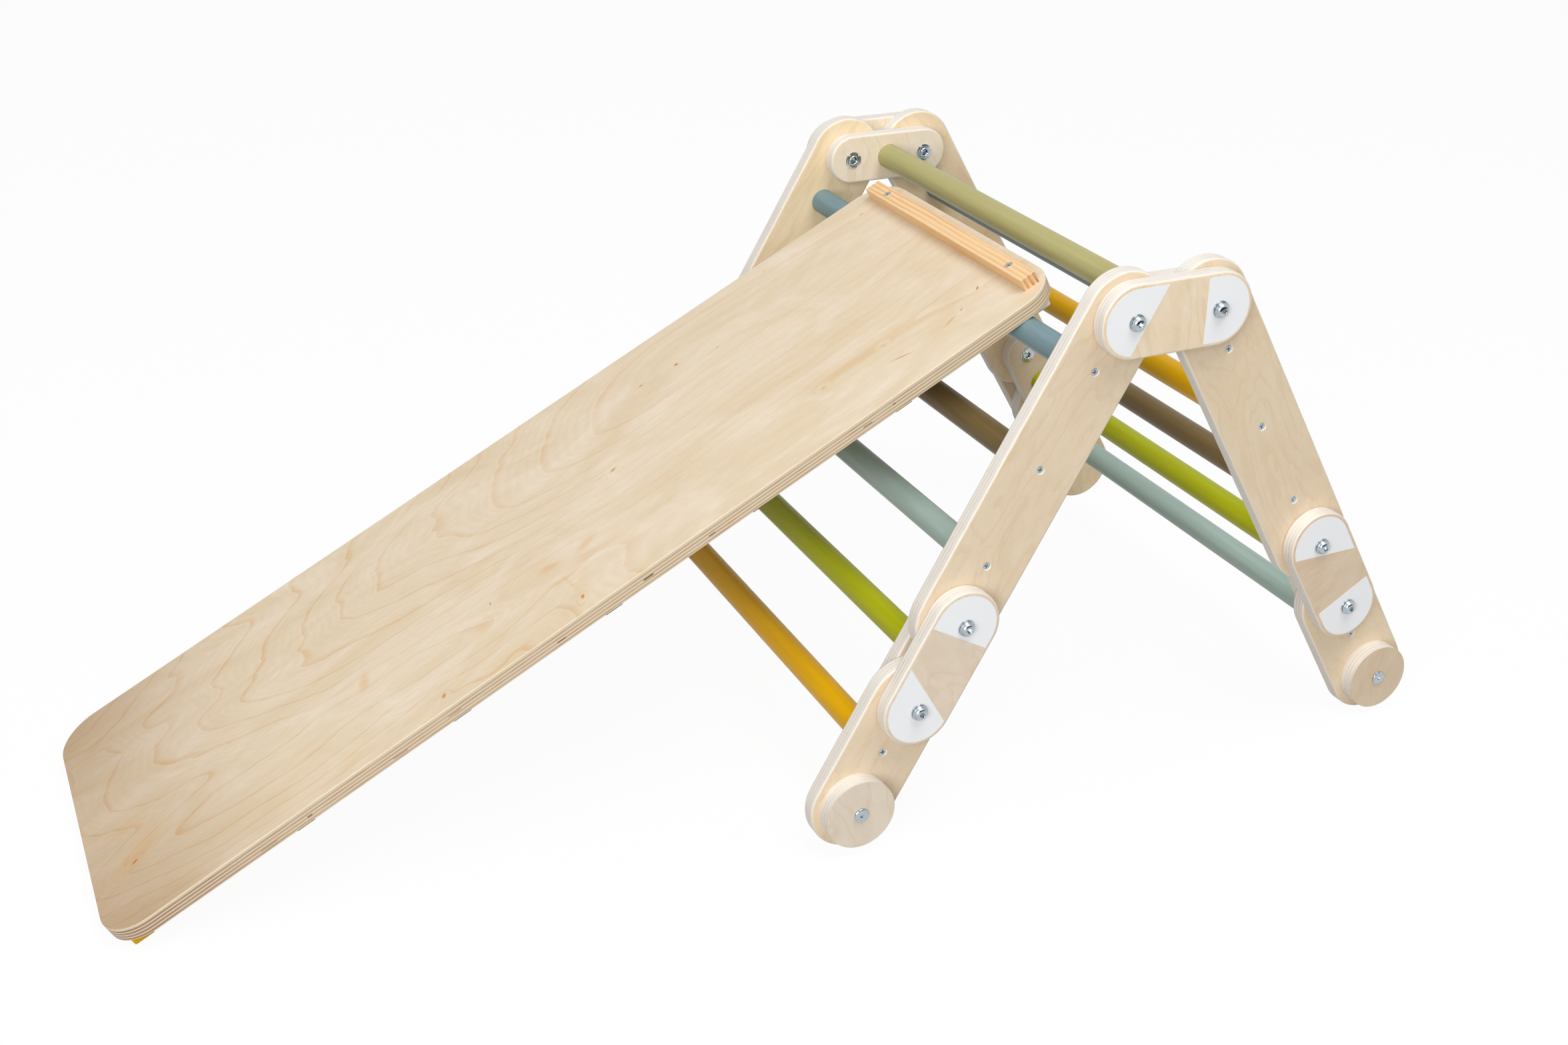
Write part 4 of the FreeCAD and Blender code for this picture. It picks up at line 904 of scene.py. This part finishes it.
# %% [markdown]
# ## Where the fasteners sit
#
# Pivots and feet lie on the lines of the legs and are listed here.  Screws sit in the middle of a
# rung's end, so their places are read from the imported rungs, and the faces that heads and flanges
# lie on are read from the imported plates: what is read stays right when the model changes.

# %% Pivots, feet and rung ends
PIVOTS = {"top": ((-50.0, 545.96), (50.0, 545.96)), "front": ((-225.0, 242.85), (-275.0, 156.25)),
          "back": ((225.0, 242.85), (275.0, 156.25))}
FEET = {"front": (-337.5, 48.0), "back": (337.5, 48.0)}
SIDES = (-1, 1)
plate_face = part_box("top_link_outer_plate_left")[1].y
nut_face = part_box("top_link_inner_plate_left")[0].y
disc_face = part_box("front_foot_disc_left")[1].y


def both_sides(points, face, towards=1):
    """Places on both side frames for points (x, z) in millimetres, on faces this far from the middle.

    The axis of a place points away from the middle, or back to it where towards is -1.
    """
    ways = [(x * MM, z * MM, side, side * towards) for x, z in points for side in SIDES]
    return [((x, side * face, z), (0, way, 0), (-way, 0, 0)) for x, z, side, way in ways]


def rung_middles(names):
    """Middles of these packed rungs as (x, z) in millimetres, from their boxes."""
    boxes = [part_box(name) for name in names]
    return [((low.x + high.x) / 2 / MM, (low.z + high.z) / 2 / MM) for low, high in boxes]


print(f"faces at {plate_face:.4f}, {nut_face:.4f} and {disc_face:.4f} m")

# %% [markdown]
# ## Pivot bolts and tee nuts
#
# A button-head bolt clamps each pivot: a washer, a dark groove, a head with a thin flange and a
# dome, a hexagon for the key, and a shank that ends in the tee nut on the other face.  A tee nut is
# pressed from sheet: a collar, a flat flange, and four notches where prongs were bent down into the
# wood.

# %% Bolts with washers
BOLT = (
    (0.0, 4.6, 1), (2.5, 4.6, 1), (2.5, 7.3, 1), (3.2, 7.7, 0), (4.4, 7.5, 0), (5.5, 7.0, 0),
    (6.4, 6.2, 0), (7.0, 5.3, 0), (7.35, 4.4, 0), (7.55, 3.8, 0), (7.8, 3.5, 0), (8.15, 3.4, 0),
    (8.5, 3.25, 0), (8.65, 2.95, 0), (8.6, 2.5, 0), (8.35, 2.2, 0), (7.9, 2.1, 0), (7.6, 1.9, 0),
    (7.6, 1.62, 0), (4.0, 1.62, 0), (4.0, -52.4, 0), (3.3, -53.2, 0), (1.7, -53.2, 0), (0.0, -52.2, 0),
)
WASHER = (
    (8.7, 1.6, 0), (9.0, 1.5, 0), (9.2, 1.2, 0), (9.2, 0.3, 0), (9.0, 0.0, 0), (4.4, 0.0, 0),
    (4.2, 0.2, 0), (4.2, 1.4, 0), (4.4, 1.6, 0),
)
for end, pivots in PIVOTS.items():
    places = both_sides(pivots, plate_face)
    skins = turned(BOLT, hexagon, places) + turned(WASHER, hexagon, places, closed=True)
    bolts = make_piece(f"{end}_link_button_bolts", skins, steel, f"{end}_link")
    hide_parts(f"{end}_link_pivot_bolts")

# %% Tee nuts and the links' rung screws
TEE_NUT = (
    (4.2, 2.2, 0), (4.5, 2.5, 0), (5.2, 2.5, 0), (5.6, 2.2, 0), (5.8, 1.7, 0), (6.4, 1.5, 0),
    (7.6, 1.45, 0), (9.8, 1.4, 1), (10.2, 1.2, 1), (10.3, 0.8, 1), (10.2, 0.2, 1), (10.0, 0.0, 1),
    (5.0, 0.0, 0), (5.0, -9.8, 0), (4.7, -10.0, 0), (4.2, -10.0, 0),
)
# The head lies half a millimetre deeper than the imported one, with the wall of the countersink round it
SCREW = (
    (0.0, -2.9, 1), (1.4, -2.3, 1), (2.5, -0.5, 1), (3.1, -0.5, 0), (3.6, -0.5, 0), (3.8, -0.56, 0),
    (3.85, -0.62, 0), (2.0, -2.6, 0), (2.0, -41.0, 0), (1.2, -43.5, 0), (0.0, -45.0, 0),
)
for end, pivots in PIVOTS.items():
    node = f"{end}_link_nuts_and_screws"
    skins = turned(TEE_NUT, four_notches, both_sides(pivots, nut_face, towards=-1), closed=True)
    places = both_sides(rung_middles([f"{end}_link_rung"]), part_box(node)[1].y)
    skins += turned(SCREW, cross_slot, places)
    nuts = make_piece(f"{end}_link_tee_nuts", skins, steel, f"{end}_link")
    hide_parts(node)

# %% [markdown]
# ## Screws in the legs and the stop, bolts in the feet
#
# The rungs between the legs are held by countersunk screws with a cross recess, a little below the
# face.  Two cap screws hold the pine stop.  Each foot disc has a flat furniture bolt with a bevelled
# rim and a small hexagon, and a flanged barrel nut behind it.  They are turned like the others, so
# only their outlines and axes are new.

# %% Leg screws
for end in ("front", "back"):
    for part, names in (("upper", ("first", "second", "third")), ("lower", ("lower",))):
        node = f"{end}_{part}_rung_screws"
        places = both_sides(rung_middles([f"{end}_{name}_rung" for name in names]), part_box(node)[1].y)
        skins = turned(SCREW, cross_slot, places)
        screws = make_piece(f"{end}_{part}_cross_screws", skins, steel, f"{end}_{part}")
        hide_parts(node)

# %% Screws of the pine stop
# A cap head fills each bore nearly to the top; its axis is the ramp's own
CAP_SCREW = (
    (0.0, -2.6, 1), (1.8, -2.2, 1), (2.3, -0.7, 1), (3.2, -0.7, 0), (4.2, -0.7, 0), (4.5, -0.95, 0),
    (4.5, -6.4, 0), (2.0, -6.45, 0), (2.0, -36.0, 0), (1.2, -38.5, 0), (0.0, -40.0, 0),
)
STOP_HALF_HEIGHT = 7.0 * MM
STOP_SCREW_PLACE = 138.0 * MM
stop_top = stop_middle + STOP_HALF_HEIGHT * ramp_out
places = [(stop_top + Vector((0.0, side * STOP_SCREW_PLACE, 0.0)), ramp_out, ramp_up) for side in SIDES]
skins = turned(CAP_SCREW, cross_slot, places, twist_step=0.0)
screws = make_piece("ramp_cap_screws", skins, steel, "ramp")
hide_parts("ramp_screws")

# %% Foot bolts and barrel nuts
FOOT_BOLT = (
    (0.0, 0.9, 1), (2.0, 0.9, 1), (2.0, 2.3, 1), (2.7, 2.5, 0), (6.8, 2.5, 0), (7.2, 2.4, 0),
    (7.9, 1.7, 0), (8.0, 1.5, 0), (8.0, 0.2, 0), (7.8, 0.0, 0), (3.0, 0.0, 0), (3.0, -29.5, 0),
    (2.5, -30.0, 0), (0.0, -30.0, 0),
)
FOOT_NUT = (
    (3.1, 1.4, 0), (3.4, 1.6, 0), (7.4, 1.6, 0), (7.8, 1.4, 0), (8.0, 1.0, 0), (8.0, 0.2, 0),
    (7.8, 0.0, 0), (4.0, 0.0, 0), (4.0, -11.8, 0), (3.8, -12.0, 0), (3.1, -12.0, 0),
)
for end, foot in FEET.items():
    skins = turned(FOOT_BOLT, hexagon, both_sides([foot], disc_face))
    bolts = make_piece(f"{end}_foot_flat_bolts", skins, steel, f"{end}_lower")
    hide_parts(f"{end}_foot_bolts")
    skins = turned(FOOT_NUT, hexagon, both_sides([foot], LEG_INNER, towards=-1), closed=True)
    nuts = make_piece(f"{end}_foot_barrel_nuts", skins, steel, f"{end}_lower")
    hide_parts(f"{end}_foot_nuts")

# %% [markdown]
# ## White films on the link plates
#
# Each outer link plate wears two plain white films, one round each pivot: the round end of the
# plate, a little inset, cut off by a straight line.  A film could be a patch of colour in the
# plywood's shader, but it is a thing of its own that lies on the wood, so it is made as one: a flat
# ring whose outer radius is the least of three polar curves and whose hole clears the washer.

# %% Film material
# Plastic film: even, soft white with hardly any shine; its grit is drawn a millimetre wide
GRIT_SIZE = 1.1111 * MM
film_material, tree = blank_material("matt_white_film")
place = add(tree, "ShaderNodeTexCoord").outputs["Object"]
grit = add(tree, "ShaderNodeTexNoise", {"Vector": place, "Scale": 1.0 / GRIT_SIZE,
                                        "Detail": 2.0}).outputs[0]
rough = add(tree, "ShaderNodeMapRange", {"Value": grit, "To Min": 0.5, "To Max": 0.65}).outputs[0]
shader = add(tree, "ShaderNodeBsdfPrincipled", {"Base Color": linear("#f8fafd"), "Roughness": rough,
                                                "IOR": 1.46})
add(tree, "ShaderNodeOutputMaterial", {"Surface": shader.outputs[0]})
print(f"{film_material.name}: for new pieces")

# %% Shape of a film
FILM_HALF = 35.5
FILM_HOLE = 9.3
FILM_THICK = 0.15
FILM_STEPS = 480
# Keeps a division finite where a direction runs beside a line
LEAST_SHARE = 0.01
film_angle = np.arange(FILM_STEPS) * 2 * np.pi / FILM_STEPS


def film_rings(pivot, axis, cut, side):
    """Four rings of a flat film round a pivot, in this order: outer edge up and down, hole down and up.

    axis points from the pivot to the link's other pivot.  In a direction with a share p along it and
    q across it, the outer radius is the half width where p is below 0 and the half width over |q|
    elsewhere, and no more than the way to the cut, a line through two points beside the pivot.
    """
    steer = np.stack((-side * np.cos(film_angle), np.sin(film_angle)), axis=-1)
    ahead = steer @ axis
    across = steer @ np.array((-axis[1], axis[0]))
    outer = np.where(ahead > 0, FILM_HALF / np.maximum(np.abs(across), LEAST_SHARE), FILM_HALF)
    start, stop = np.array(cut)
    normal = np.array((start[1] - stop[1], stop[0] - start[0]))
    normal = normal / np.linalg.norm(normal)
    distance = normal @ start
    normal, distance = normal * np.sign(distance), abs(distance)
    outer = np.minimum(outer, distance / np.maximum(steer @ normal, LEAST_SHARE))
    hole = np.full_like(outer, FILM_HOLE)
    radius = np.stack((outer, outer, hole, hole))
    height = np.array((FILM_THICK, 0.0, 0.0, FILM_THICK))[:, None] + 0 * film_angle
    flat = np.array(pivot) + radius[:, :, None] * steer
    return MM * np.stack((flat[:, :, 0], side * (plate_face / MM + height), flat[:, :, 1]), axis=-1)


# %% Films and their cut lines
# Each line is two points in millimetres along the link's axis, from its middle, and across it
LINK_AXES = {"top": ((1.0, 0.0), (0.0, 1.0)), "front": ((-0.5, -0.866025), (0.866025, -0.5)),
             "back": ((0.5, -0.866025), (0.866025, 0.5))}
FILM_CUTS = {
    "top": (((-14.5, 35.6), (-53.8, -34.9)), ((33.5, -40.0), (33.5, 40.0))),
    "front": (((-37.0, -40.0), (-37.0, 40.0)), ((10.4, -35.7), (50.0, 33.2))),
    "back": (((-56.2, -36.0), (-16.3, 34.3)), ((31.2, -40.0), (31.2, 40.0))),
}
HALF_LINK = 50.0
for end, cuts in FILM_CUTS.items():
    link_axis, link_across = (np.array(v) for v in LINK_AXES[end])
    skins = []
    for pivot, way, cut in zip(PIVOTS[end], (1, -1), cuts):
        line = [(a + way * HALF_LINK) * link_axis + b * link_across for a, b in cut]
        skins += [skin(film_rings(pivot, way * link_axis, line, side), True) for side in SIDES]
    make_piece(f"{end}_link_white_films", skins, film_material, f"{end}_link")
